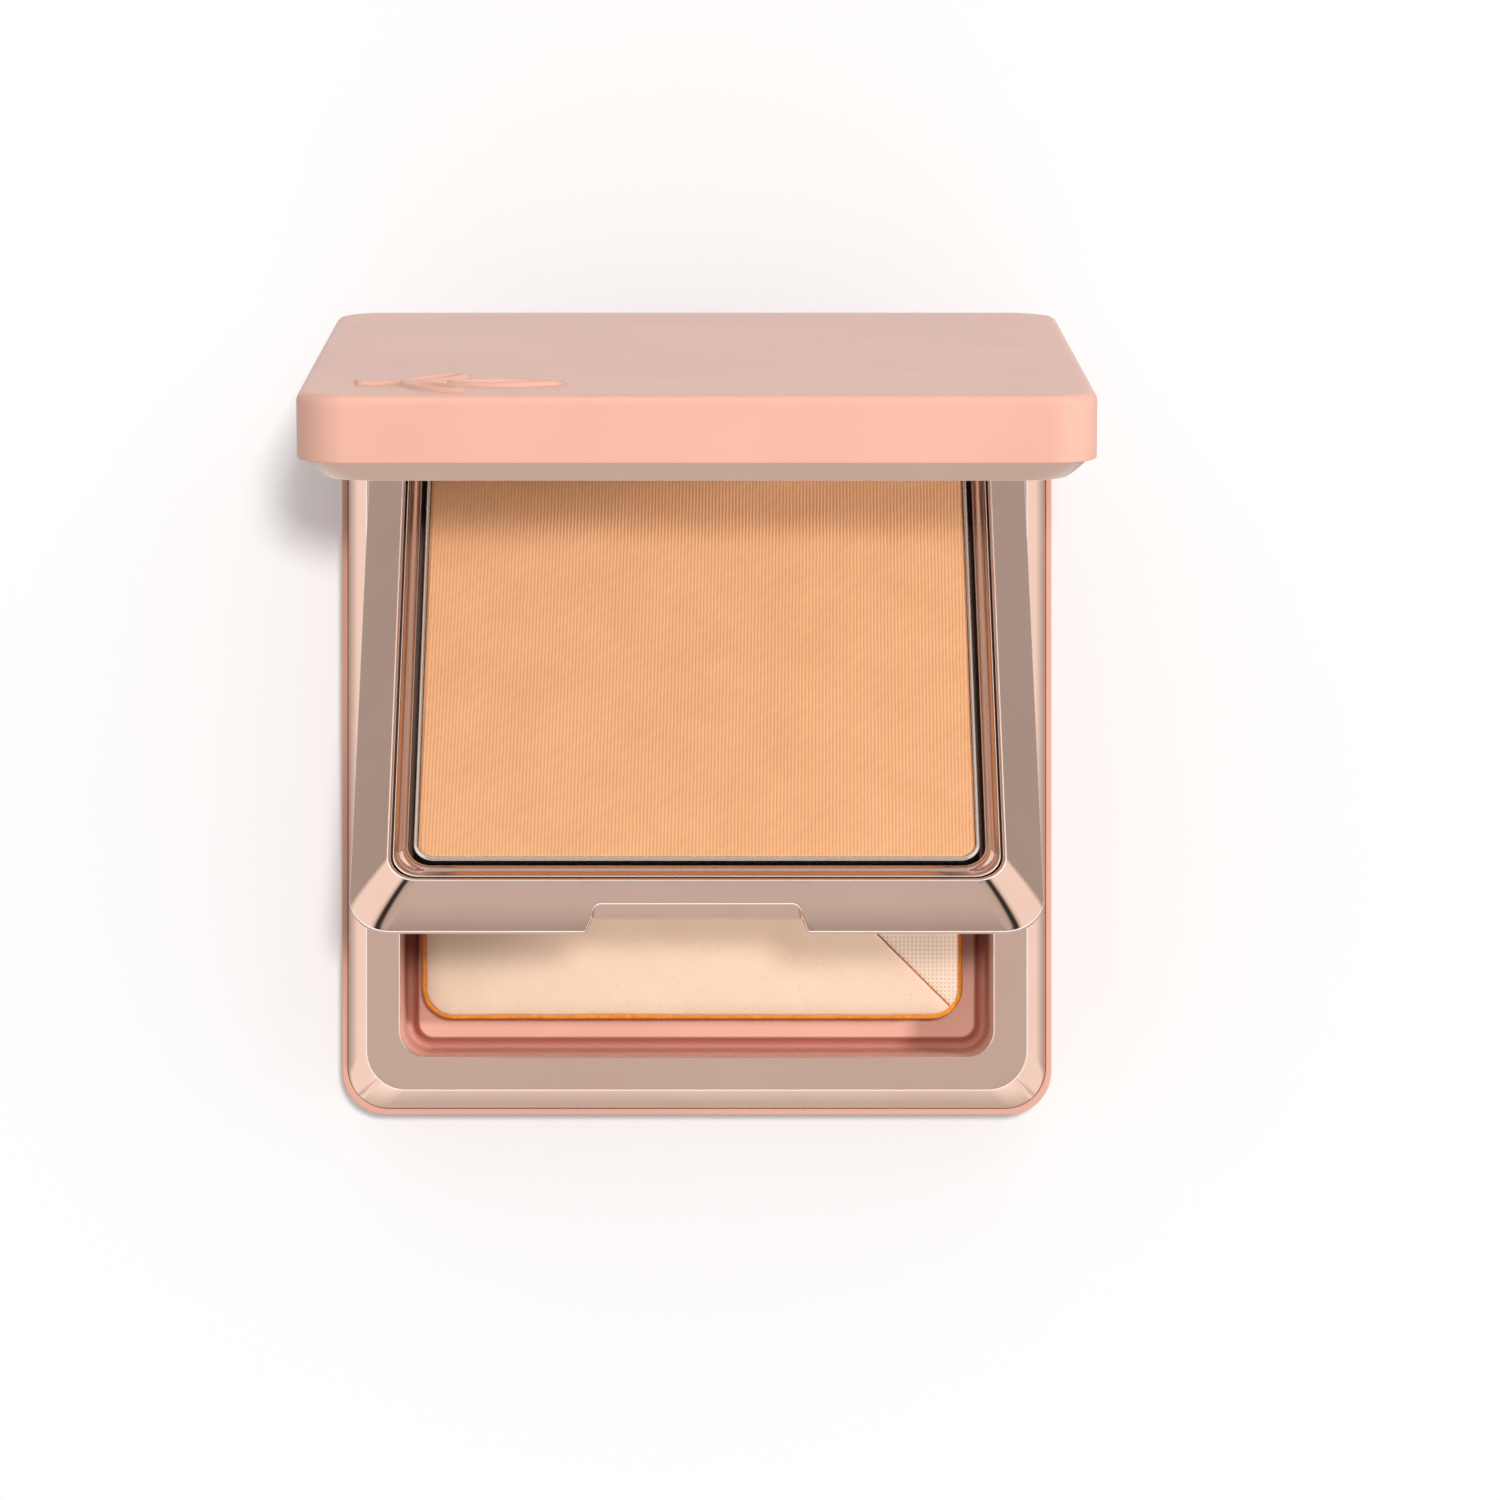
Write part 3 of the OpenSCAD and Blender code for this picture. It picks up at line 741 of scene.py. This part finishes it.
def wander(bm, amount, size):
    """Moves every vertex a little, by smooth noise whose waves are size mm long."""
    for v in bm.verts:
        shift = noise.noise_vector(v.co / size) * amount
        v.co += Vector((shift.x, shift.y, shift.z * 0.5))


def puff_place():
    centre = (FOAM_LOW + FOAM_HIGH) / 2
    size = [high - low + 2 * PUFF_BULGE for low, high in zip(FOAM_LOW[:2], FOAM_HIGH[:2])]
    return Matrix.Translation((centre.x, centre.y, 0)), size


def puff_foam():
    """The latex body: its rim shows as an orange line round the facing."""
    move, size = puff_place()
    low = FOAM_LOW.z
    rim = puff_top(SKIN_IN) - SKIN_T
    inner = (0.7, 1.2, 1.8, 2.6, 4, 8, 14, 20, 26)
    profile = [
        *puff_inner((24, 16, 8, 3), lambda i: low, 0),
        (1.0, low, PUFF_R - 1, 0),
        (0.5, low + 0.25, PUFF_R - 0.5, 0),
        (0.2, low + 0.7, PUFF_R - 0.2, 0),
        (0.12, low + 1.5, PUFF_R - 0.1, 0),
        (0.02, low + 2.4, PUFF_R, 0),
        (0.0, rim - 0.7, PUFF_R, 0),
        (0.01, rim - 0.2, PUFF_R, 0),
        (0.08, rim + 0.03, PUFF_R - 0.1, 0),
        (0.2, rim + 0.12, PUFF_R - 0.2, 0),
        (0.46, rim + 0.14, PUFF_R - 0.4, 0),
        *puff_inner(inner, puff_top, SKIN_T + 0.04),
    ]
    bm = loft(size, profile, side=PUFF_COLUMNS)
    bm.transform(move)
    wander(bm, 0.05, 0.5)
    made = piece("sponge_core", bm, "base", sponge_foam(), ["sponge_foam"])


def puff_skin(side):
    """The facing on the front-left half (side -1) or the pocket on the other (side 1)."""
    move, size = puff_place()
    rows = (SKIN_IN, 0.57, 0.7, 0.9, 1.3, 1.8, 2.4, 3.2, 4.5, 7, 10, 14, 18, 22, 26.5)
    edge = puff_top(SKIN_IN)
    profile = [
        *puff_inner(reversed(rows[1:]), puff_top, SKIN_T),
        (SKIN_IN, edge - SKIN_T + 0.05, PUFF_R - SKIN_IN, 0),
        (SKIN_IN - 0.04, edge - SKIN_T / 2, PUFF_R - SKIN_IN, 0),
        (SKIN_IN + 0.02, edge - 0.04, PUFF_R - SKIN_IN, 0),
        *puff_inner(rows[1:], puff_top, 0),
    ]
    bm = loft(size, profile, side=PUFF_COLUMNS)
    across = Vector((1, 1, 0)).normalized() * side
    for lip in SLIT_LIPS:
        split(bm, across * lip, across, False)
    split(bm, across * SLIT_W / 2, across, True)
    for v in bm.verts:
        reach = max(v.co.dot(across) - SLIT_W / 2, 0)
        v.co.z -= 0.16 * math.exp(-reach / 0.22)
    wander(bm, 0.09, 7)
    wander(bm, 0.03, 0.8)
    bm.transform(move)
    return bm


def split(bm, point, normal, keep_beyond):
    """Cuts a bmesh by a plane. With keep_beyond, only what is beyond it stays, closed."""
    parts = bm.verts[:] + bm.edges[:] + bm.faces[:]
    cut_edge = bmesh.ops.bisect_plane(bm, geom=parts, plane_co=point, plane_no=normal,
                                      clear_inner=keep_beyond)["geom_cut"]
    if keep_beyond:
        edges = [e for e in cut_edge if isinstance(e, bmesh.types.BMEdge)]
        bmesh.ops.holes_fill(bm, edges=edges)


def sponge():
    """Foam body with the flocked facing and the woven pocket lying on it."""
    puff_foam()
    skin = piece("sponge_facing_flocked", puff_skin(-1), "base", sponge_skin(),
                 ["sponge_facing"])
    pocket = piece("sponge_pocket_gauze", puff_skin(1), "base", gauze(),
                   ["sponge_pocket"])


# ---------------------------------------------------------------- tray


def notch_depth(x):
    """How far the finger notch cuts in at a place along the tray's front."""
    inner = NOTCH_W / 2 - NOTCH_TAPER - NOTCH_R
    offset = abs(x)
    straight = NOTCH_IN - NOTCH_R
    if offset <= inner:
        return NOTCH_IN
    if offset <= inner + NOTCH_R:
        return straight + math.sqrt(max(NOTCH_R ** 2 - (offset - inner) ** 2, 0))
    if offset < NOTCH_W / 2:
        return straight * (NOTCH_W / 2 - offset) / NOTCH_TAPER
    return 0.0


def notch_places():
    """Places along the front where the tray's loft needs columns."""
    inner = NOTCH_W / 2 - NOTCH_TAPER - NOTCH_R
    half = [0, inner / 2, inner]
    half += [inner + NOTCH_R * math.sin(math.radians(a)) for a in range(10, 91, 10)]
    half += [NOTCH_W / 2 - NOTCH_TAPER * s for s in (0.75, 0.5, 0.25, 0.08, 0)]
    half += [NOTCH_W / 2 + 0.05, NOTCH_W / 2 + 0.5]
    return sorted({-x for x in half} | set(half))


SLOPE_START = 0.36                               # height above the foot
FOOT_RISE = 0.55                                 # how much higher the foot is in the notch
FOOT_RAMP = 0.6
TRAY_WALL_H = 1.15
TRAY_INNER = 2.6


def tray_frame():
    top = RIDGE_Z
    opening = BEVEL_W + RIDGE_LAND
    start = (0, FOOT_Z + SLOPE_START, TRAY_R, 0.2)
    crest = (BEVEL_W, top, RIDGE_R, 0.25)
    bevel = bowed(start, crest, BEVEL_BOW)

    def height(depth):
        """Height of the bowed border at a depth in from the foot."""
        for a, b in zip(bevel, bevel[1:]):
            if a[0] <= depth <= b[0]:
                return a[1] + (b[1] - a[1]) * (depth - a[0]) / (b[0] - a[0])
        return start[1]

    def profile(x):
        depth = notch_depth(x) if x is not None else 0.0
        edge_z = height(depth) if depth > bevel[0][0] else start[1]
        foot = FOOT_Z + (FOOT_RISE if depth > FOOT_RAMP else FOOT_RISE * depth / FOOT_RAMP)
        slope = []
        for k, point in enumerate(bevel):
            s = k / BOW_STEPS
            inset = depth + (BEVEL_W - depth) * s
            if k == 0:
                slope.append((depth, edge_z, TRAY_R, 0.2))
            elif k == BOW_STEPS:
                slope.append(crest)
            elif depth == 0:
                slope.append(point)
            else:
                slope.append((inset, height(inset), mix((TRAY_R,), (RIDGE_R,), s)[0], 0))
        return [
            (depth, foot, TRAY_R, 0.06),
            *slope,
            (opening, top, RIDGE_R - 0.2, 0.1),
            (opening, top - TRAY_WALL_H, RIDGE_R - 0.2, 0),
            (opening - 0.6, top - TRAY_WALL_H, RIDGE_R, 0),
            (TRAY_INNER, PLANE + 1.6, RIDGE_R, 0),
            (TRAY_INNER, FOOT_Z, RIDGE_R, 0),
        ]

    bm = loft(TRAY, profile, loop=True, front=notch_places())
    knuckles(bm, (1,), FIT_GAP, FIT_GAP + ARM_T, TRAY_INSET + 1)
    piece("tray_frame_metal", bm, "tray", ROSE, ["tray_frame"], TRAY_ANGLE)


TUB_SKIN_IN = 0.45                               # the tub's lower skin, in from its rim
TUB_RIM = 0.5
TUB_WALL = 0.9
TUB_FLOOR_T = 0.8


def tray_tub():
    outer = (TRAY[0] - (TUB_HIGH.x - TUB_LOW.x)) / 2
    skin = outer + TUB_SKIN_IN
    inner = outer + TUB_RIM + TUB_WALL
    floor = TUB_LOW.z + TUB_FLOOR_T
    profile = [
        (skin + 3, TUB_LOW.z, RIDGE_R - 1, 0),
        (skin, TUB_LOW.z, RIDGE_R, 0.5),
        (skin, FOOT_Z, RIDGE_R, 0),
        (outer, FOOT_Z, RIDGE_R, 0),
        (outer, PLANE + 1.5, RIDGE_R, 0),
        (skin + 0.3, TUB_HIGH.z, RIDGE_R, 0),
        (inner, TUB_HIGH.z, RIDGE_R - 0.2, 0),
        (inner, floor, RIDGE_R - 0.2, 0),
        (inner + 3, floor, RIDGE_R - 1, 0),
    ]
    piece("tray_tub_cover", loft(TRAY, profile), "tray", tub_plastic(),
          ["tray_tub"], TRAY_ANGLE)


def pan_ring():
    outer = (TRAY[0] - (RING_HIGH.x - RING_LOW.x)) / 2
    top = RING_HIGH.z
    r = RIDGE_R - 0.3
    profile = [
        (outer, RING_LOW.z, r, 0),
        (outer, top, r, 0.1),
        (outer + 0.25, top - 0.02, r - 0.05, 0),
        (outer + RING_W * 0.5, top - 0.06, r - 0.12, 0),
        (outer + RING_W * 0.56, top - 0.02, r - 0.14, 0),
        (outer + RING_W, top - 0.04, r - 0.3, 0.1),
        (outer + RING_W, top - 0.8, r - 0.3, 0),
        (outer + 0.8, top - 0.8, r - 0.3, 0),
        (outer + 0.8, RING_LOW.z, r - 0.3, 0),
    ]
    piece("pan_ring_metal", loft(TRAY, profile, loop=True), "tray", ROSE,
          ["pan_ring"], TRAY_ANGLE)


PAN_RIM_R = 0.3
PAN_RIM_TURNS = [math.radians(a) for a in range(0, 91, 15)]


def powder_pan():
    outer = (TRAY[0] - (PAN_HIGH.x - PAN_LOW.x)) / 2
    inner = outer + PAN_WALL
    floor = PAN_LOW.z + 0.5
    profile = [
        (outer + 3, PAN_LOW.z, 1.6, 0),
        (outer, PAN_LOW.z, 2.0, 0.4),
        *[(outer + PAN_RIM_R * (1 - math.cos(a)), PAN_HIGH.z - PAN_RIM_R * (1 - math.sin(a)),
           2.0 - PAN_RIM_R * (1 - math.cos(a)), 0) for a in PAN_RIM_TURNS],
        (inner, PAN_HIGH.z, 1.6, 0.04),
        (inner, floor, 1.6, 0),
        (inner + 3, floor, 1.2, 0),
    ]
    piece("powder_pan_metal", loft(TRAY, profile), "tray", aluminium(),
          ["powder_pan"], TRAY_ANGLE)


def powder_cake():
    outer = (TRAY[0] - (CAKE_HIGH.x - CAKE_LOW.x)) / 2
    profile = [
        (outer + 2, CAKE_LOW.z, 1.2, 0),
        (outer, CAKE_LOW.z, 1.6, 0),
        (outer, CAKE_HIGH.z - 0.3, 1.6, 0),
        (outer + 0.06, CAKE_HIGH.z - 0.1, 1.6, 0.1),
        (outer + 0.3, CAKE_HIGH.z, 1.5, 0.1),
        (outer + 3, CAKE_HIGH.z, 1.3, 0),
    ]
    piece("powder_cake_pressed", loft(TRAY, profile), "tray", powder(),
          ["powder_cake"], TRAY_ANGLE)


# ---------------------------------------------------------------- lid


def lid_shell():
    roof = LID_TOP - WALL
    profile = [
        (WALL + 1, roof, CORNER_R - WALL - 1, 0),
        (WALL, roof, CORNER_R - WALL, 0),
        (WALL, LID_LEDGE_Z, CORNER_R - WALL, 0),
        (LIP, LID_LEDGE_Z, LIP_R, 0),
        (LIP, LID_LAND_Z, LIP_R, 0.08),
        (0, LID_LAND_Z, CORNER_R, 0.15),
        (0, LID_TOP, CORNER_R, EDGE_R),
        (EDGE_R * 2.5, LID_TOP, CORNER_R - EDGE_R, 0),
    ]
    piece("lid_shell_skin", loft(BODY, profile), "lid", PINK, ["lid_shell"],
          LID_ANGLE)


SPRIG_AT = (-22.0, -27.0)
STEM = (-9.0, 0.0)
LEAVES = ((10.0, 0, -0.5), (8.0, 48, -4.5), (8.0, -48, -4.5))
LEAF_BOW = 0.83
STEM_STEPS = 12
RIDGE_PROFILE = ((-0.62, -0.05), (-0.46, 0.05), (-0.33, 0.19), (-0.2, 0.31), (-0.07, 0.35))
RIDGE_ROOT = ((0.5, -0.2), (-0.5, -0.2))         # its hidden foot, inside the lid


def ridge(path, closed):
    """Bmesh of a soft raised line of the sprig along a flat path, on the lid's outer face."""
    rail = [*RIDGE_PROFILE, *[(-x, z) for x, z in reversed(RIDGE_PROFILE)], *RIDGE_ROOT]
    bm = bmesh.new()
    rows = []
    count = len(path)
    for k, point in enumerate(path):
        before = path[(k - 1) % count] if closed or k else point
        after = path[(k + 1) % count] if closed or k < count - 1 else point
        ahead = (after - before).normalized()
        out = Vector((ahead.y, -ahead.x))
        turn = (point - before).angle(after - point) if point not in (before, after) else 0
        wide = 1 / max(math.cos(turn / 2), 0.55)
        rows.append([bm.verts.new((*(point + out * x * wide), LID_TOP + z)) for x, z in rail])
    for here, there in zip(rows, rows[1:] + (rows[:1] if closed else [])):
        for i in range(len(rail)):
            j = (i + 1) % len(rail)
            bm.faces.new((here[i], here[j], there[j], there[i]))
    if not closed:
        bm.faces.new(rows[0])
        bm.faces.new(rows[-1])
    return bm


def leaf_path(length, turn, start):
    """Outline of one leaf: two arcs that meet in points."""
    radius = LEAF_BOW * length
    half = math.asin(length / 2 / radius)
    depth = radius * math.cos(half)
    steps = 14
    points = []
    for side in (1, -1):
        for k in range(steps):
            a = -half + 2 * half * k / steps
            x = length / 2 + radius * math.sin(a)
            y = radius * math.cos(a) - depth
            points.append(Vector((x, y)) if side > 0 else Vector((length - x, -y)))
    spin = Matrix.Rotation(math.radians(turn), 2)
    return [Vector(SPRIG_AT) + Vector((start, 0)) + spin @ p for p in points]


def lid_sprig():
    """A raised sprig of three leaves, moulded in the lid's outer face."""
    stem = [Vector(SPRIG_AT) + Vector((STEM[0] + (STEM[1] - STEM[0]) * k / STEM_STEPS, 0))
            for k in range(STEM_STEPS + 1)]
    bm = ridge(stem, False)
    for leaf in LEAVES:
        join(bm, ridge(leaf_path(*leaf), True))
    piece("lid_sprig_raised", bm, "lid", PINK, (), LID_ANGLE)


REST_GAP = 0.03                                  # the shut lid stops this far above the base
SLOT_GAP = 0.2                                   # round the tray's arms, in the lid's rim
SLOT_REACH = 0.6
SLOT_TOP = 1.65


def lid_frame():
    foot = LIP + FIT_GAP
    foot_r = LIP_R - FIT_GAP
    flat = TRAY_INSET - BEZEL_FLAT - CAVITY_GAP
    cavity = flat + BEZEL_FLAT
    cavity_r = TRAY_R + CAVITY_GAP
    step = cavity + 2.4
    back = MIRROR_HIGH.z + 0.5
    rim = PLANE + REST_GAP
    profile = [
        (step + 2, back, 1.0, 0),
        (step, back, 2.0, 0),
        (step, MIRROR_LOW.z, 2.0, 0.12),
        (cavity, PLANE + 1.2, cavity_r, 0.5),
        (cavity, rim, cavity_r, 0.12),
        *bowed((flat, rim, FLAT_R, 0.22), (foot, LID_LAND_Z, foot_r, 0.06), CHAMFER_BOW, -1),
        (foot, LID_LEDGE_Z, foot_r, 0),
        (foot + 1.5, LID_LEDGE_Z, foot_r - 0.7, 0),
        (step - 0.95, MIRROR_LOW.z + 0.8, 2.4, 0),
        (step - 0.95, LID_FRAME_HIGH.z, 2.4, 0),
        (step + 2, LID_FRAME_HIGH.z, 1.0, 0),
    ]
    bm = loft(BODY, profile)
    made = piece("lid_frame_metal", bm, "lid", ROSE, ["lid_frame"], LID_ANGLE)
    x = HINGE_X + KNUCKLE_W + KNUCKLE_GAP - SLOT_GAP
    for side in (-1, 1):
        low_x = x if side > 0 else -x - KNUCKLE_W - 2 * SLOT_GAP
        low = (low_x, BODY[1] / 2 - cavity - SLOT_REACH, PLANE - 1)
        high = (low_x + KNUCKLE_W + 2 * SLOT_GAP, BODY[1] / 2 + 1, PLANE + SLOT_TOP)
        cut(made, block(low, high, edge=0), LID_ANGLE)
    barrels = knuckles(bmesh.new(), (2,), 0.1, 1.8, GROOVE_W + 0.4)
    piece("lid_frame_knuckles", barrels, "lid", ROSE, (), LID_ANGLE)


def mirror():
    inset = (BODY[0] - (MIRROR_HIGH.x - MIRROR_LOW.x)) / 2
    profile = [
        (inset + 3, MIRROR_LOW.z, 1.2, 0),
        (inset, MIRROR_LOW.z, 1.95, 0.15),
        (inset, MIRROR_HIGH.z, 1.95, 0.05),
        (inset + 3, MIRROR_HIGH.z, 1.2, 0),
    ]
    piece("mirror_glass", loft(BODY, profile), "lid", mirror_silver(), ["mirror"],
          LID_ANGLE)


# ---------------------------------------------------------------- carried-over CAD nodes


def carried_over():
    looks = {"base_magnets": STEEL, "lid_keepers": STEEL, "hinge_pins": STEEL,
             "pan_glue": ADHESIVE, "mirror_tape": ADHESIVE}
    for name, material in looks.items():
        slots = frame["nodes"][name].data.materials
        slots.clear()
        slots.append(material)


# ---------------------------------------------------------------- floor, lights and camera

CAMERA_HEIGHT = 622.0
CAMERA_BACK = 1.3
LENS = 147.6
SHIFT_X = 0.0355
SHIFT_Y = -0.002


FLOOR_HALF = 1.5                                 # metres
FLOOR_TONE = 0.87


def floor():
    """A plain pale floor, which doesn't show in reflections."""
    bm = bmesh.new()
    bmesh.ops.create_grid(bm, x_segments=1, y_segments=1, size=FLOOR_HALF)
    mesh = bpy.data.meshes.new("floor")
    bm.to_mesh(mesh)
    bm.free()
    n = Nodes("pale_floor")
    n.set(Base_Color=(FLOOR_TONE, FLOOR_TONE, FLOOR_TONE, 1), Roughness=0.6)
    mesh.materials.append(n.material)
    made = bpy.data.objects.new("floor", mesh)
    bpy.context.scene.collection.objects.link(made)
    made.location.z = BASE_LOW.z * MM
    made.visible_glossy = False


def softbox(name, at, size, power, aim=(0, 0, 0.02)):
    """A rectangular area light at a point, aimed at the compact."""
    light = bpy.data.lights.new(name, "AREA")
    light.shape = "RECTANGLE"
    light.size, light.size_y = size
    light.energy = power
    made = bpy.data.objects.new(name, light)
    bpy.context.scene.collection.objects.link(made)
    made.location = at
    made.rotation_euler = (Vector(aim) - Vector(at)).to_track_quat("-Z", "Y").to_euler()
    return made


# Brightness of the surroundings by height, from straight down (0) to straight up (1): in
# front and behind, and to the left and right
SKY_ENDS = ((0.0, 0.9), (0.2, 0.85), (0.45, 0.86), (0.5, 0.98), (0.55, 1.08), (0.725, 1.6),
            (0.85, 1.3), (0.94, 0.58), (0.985, 0.58), (1.0, 0.88))
SKY_SIDES = ((0.0, 0.6), (0.38, 0.6), (0.47, 1.2), (0.5, 1.4), (0.575, 1.4), (0.7, 1.4),
             (0.87, 1.4), (0.9, 1.0), (0.92, 0.05), (0.9475, 0.05), (0.965, 0.75), (1.0, 0.86))
SKY_TOP = 2.0                                    # brightness that the ramps' white stands for
SKY_SOFT = 0.58                                  # share of it that lights matt faces
SIDES_FROM, SIDES_FULL = 0.55, 0.8               # where the sides' ramp takes over
KEY_POWER = 4.7
OVERHEAD_POWER = 5.6
BACK_POWER = 1.2


def sky_ramp(tree, height, levels):
    """Brightness of the surroundings, from straight down (0) to straight up (1)."""
    ramp = tree.nodes.new("ShaderNodeValToRGB")
    tree.links.new(height, ramp.inputs["Fac"])
    spots = ramp.color_ramp.elements
    while len(spots) < len(levels):
        spots.new(0.5)
    for spot, (at, level) in zip(spots, levels):
        spot.position = at
        spot.color = (level / SKY_TOP,) * 3 + (1,)
    return ramp.outputs["Color"]


def sky():
    """Soft studio surroundings: tall bright panels on both sides, with a dark gap between
    them and the overhead one."""
    world = bpy.data.worlds.new("studio")
    bpy.context.scene.world = world
    world.use_nodes = True
    tree = world.node_tree
    background = tree.nodes["Background"]
    direction = tree.nodes.new("ShaderNodeTexCoord")
    parts = tree.nodes.new("ShaderNodeSeparateXYZ")
    tree.links.new(direction.outputs["Generated"], parts.inputs["Vector"])
    height = tree.nodes.new("ShaderNodeMapRange")
    height.inputs["From Min"].default_value = -1
    tree.links.new(parts.outputs["Z"], height.inputs["Value"])
    turned = tree.nodes.new("ShaderNodeMath")
    turned.operation = "ARCTAN2"
    tree.links.new(parts.outputs["Y"], turned.inputs[0])
    tree.links.new(parts.outputs["X"], turned.inputs[1])
    sideways = tree.nodes.new("ShaderNodeMath")
    sideways.operation = "COSINE"
    tree.links.new(turned.outputs["Value"], sideways.inputs[0])
    size = tree.nodes.new("ShaderNodeMath")
    size.operation = "ABSOLUTE"
    tree.links.new(sideways.outputs["Value"], size.inputs[0])
    share = tree.nodes.new("ShaderNodeMapRange")
    share.interpolation_type = "SMOOTHSTEP"
    share.inputs["From Min"].default_value = SIDES_FROM
    share.inputs["From Max"].default_value = SIDES_FULL
    tree.links.new(size.outputs["Value"], share.inputs["Value"])
    mixed = tree.nodes.new("ShaderNodeMix")
    mixed.data_type = "RGBA"
    tree.links.new(share.outputs["Result"], mixed.inputs[0])
    tree.links.new(sky_ramp(tree, height.outputs["Result"], SKY_ENDS), mixed.inputs[6])
    tree.links.new(sky_ramp(tree, height.outputs["Result"], SKY_SIDES), mixed.inputs[7])
    tree.links.new(mixed.outputs[2], background.inputs["Color"])
    ray = tree.nodes.new("ShaderNodeLightPath")
    strength = tree.nodes.new("ShaderNodeMapRange")
    strength.inputs["To Min"].default_value = SKY_TOP
    strength.inputs["To Max"].default_value = SKY_TOP * SKY_SOFT
    tree.links.new(ray.outputs["Is Diffuse Ray"], strength.inputs["Value"])
    tree.links.new(strength.outputs["Result"], background.inputs["Strength"])


def lights():
    """The sky and three lamps. No lamp shows in reflections, and only the overhead one lights
    the floor."""
    sky()
    key = softbox("key_right", (0.58, 0.05, 0.55), (0.09, 0.09), KEY_POWER)
    spared = bpy.data.collections.new("floor_left_unlit")
    spared.objects.link(bpy.data.objects["floor"])
    spared.collection_objects[0].light_linking.link_state = "EXCLUDE"
    key.light_linking.receiver_collection = spared
    key.visible_glossy = False
    overhead = softbox("overhead", (0.05, 0.07, 1.0), (0.06, 0.06), OVERHEAD_POWER)
    overhead.visible_glossy = False
    back = softbox("back_fill", (0, 0.6, 0.4), (0.3, 0.3), BACK_POWER)
    back.light_linking.receiver_collection = spared
    back.visible_glossy = False


def camera():
    data = bpy.data.cameras.new("camera")
    data.lens = LENS
    data.sensor_width = 36
    data.shift_x = SHIFT_X
    data.shift_y = SHIFT_Y
    data.clip_end = 10
    made = bpy.data.objects.new("camera", data)
    bpy.context.scene.collection.objects.link(made)
    made.location = (0, CAMERA_BACK * MM, (PLANE + CAMERA_HEIGHT) * MM)
    bpy.context.scene.camera = made
    bpy.context.scene.view_settings.view_transform = "Standard"


base_shell()
base_frame()
sponge_well()
sponge()
tray_frame()
tray_tub()
pan_ring()
powder_pan()
powder_cake()
lid_shell()
lid_sprig()
lid_frame()
mirror()
carried_over()
floor()
lights()
camera()
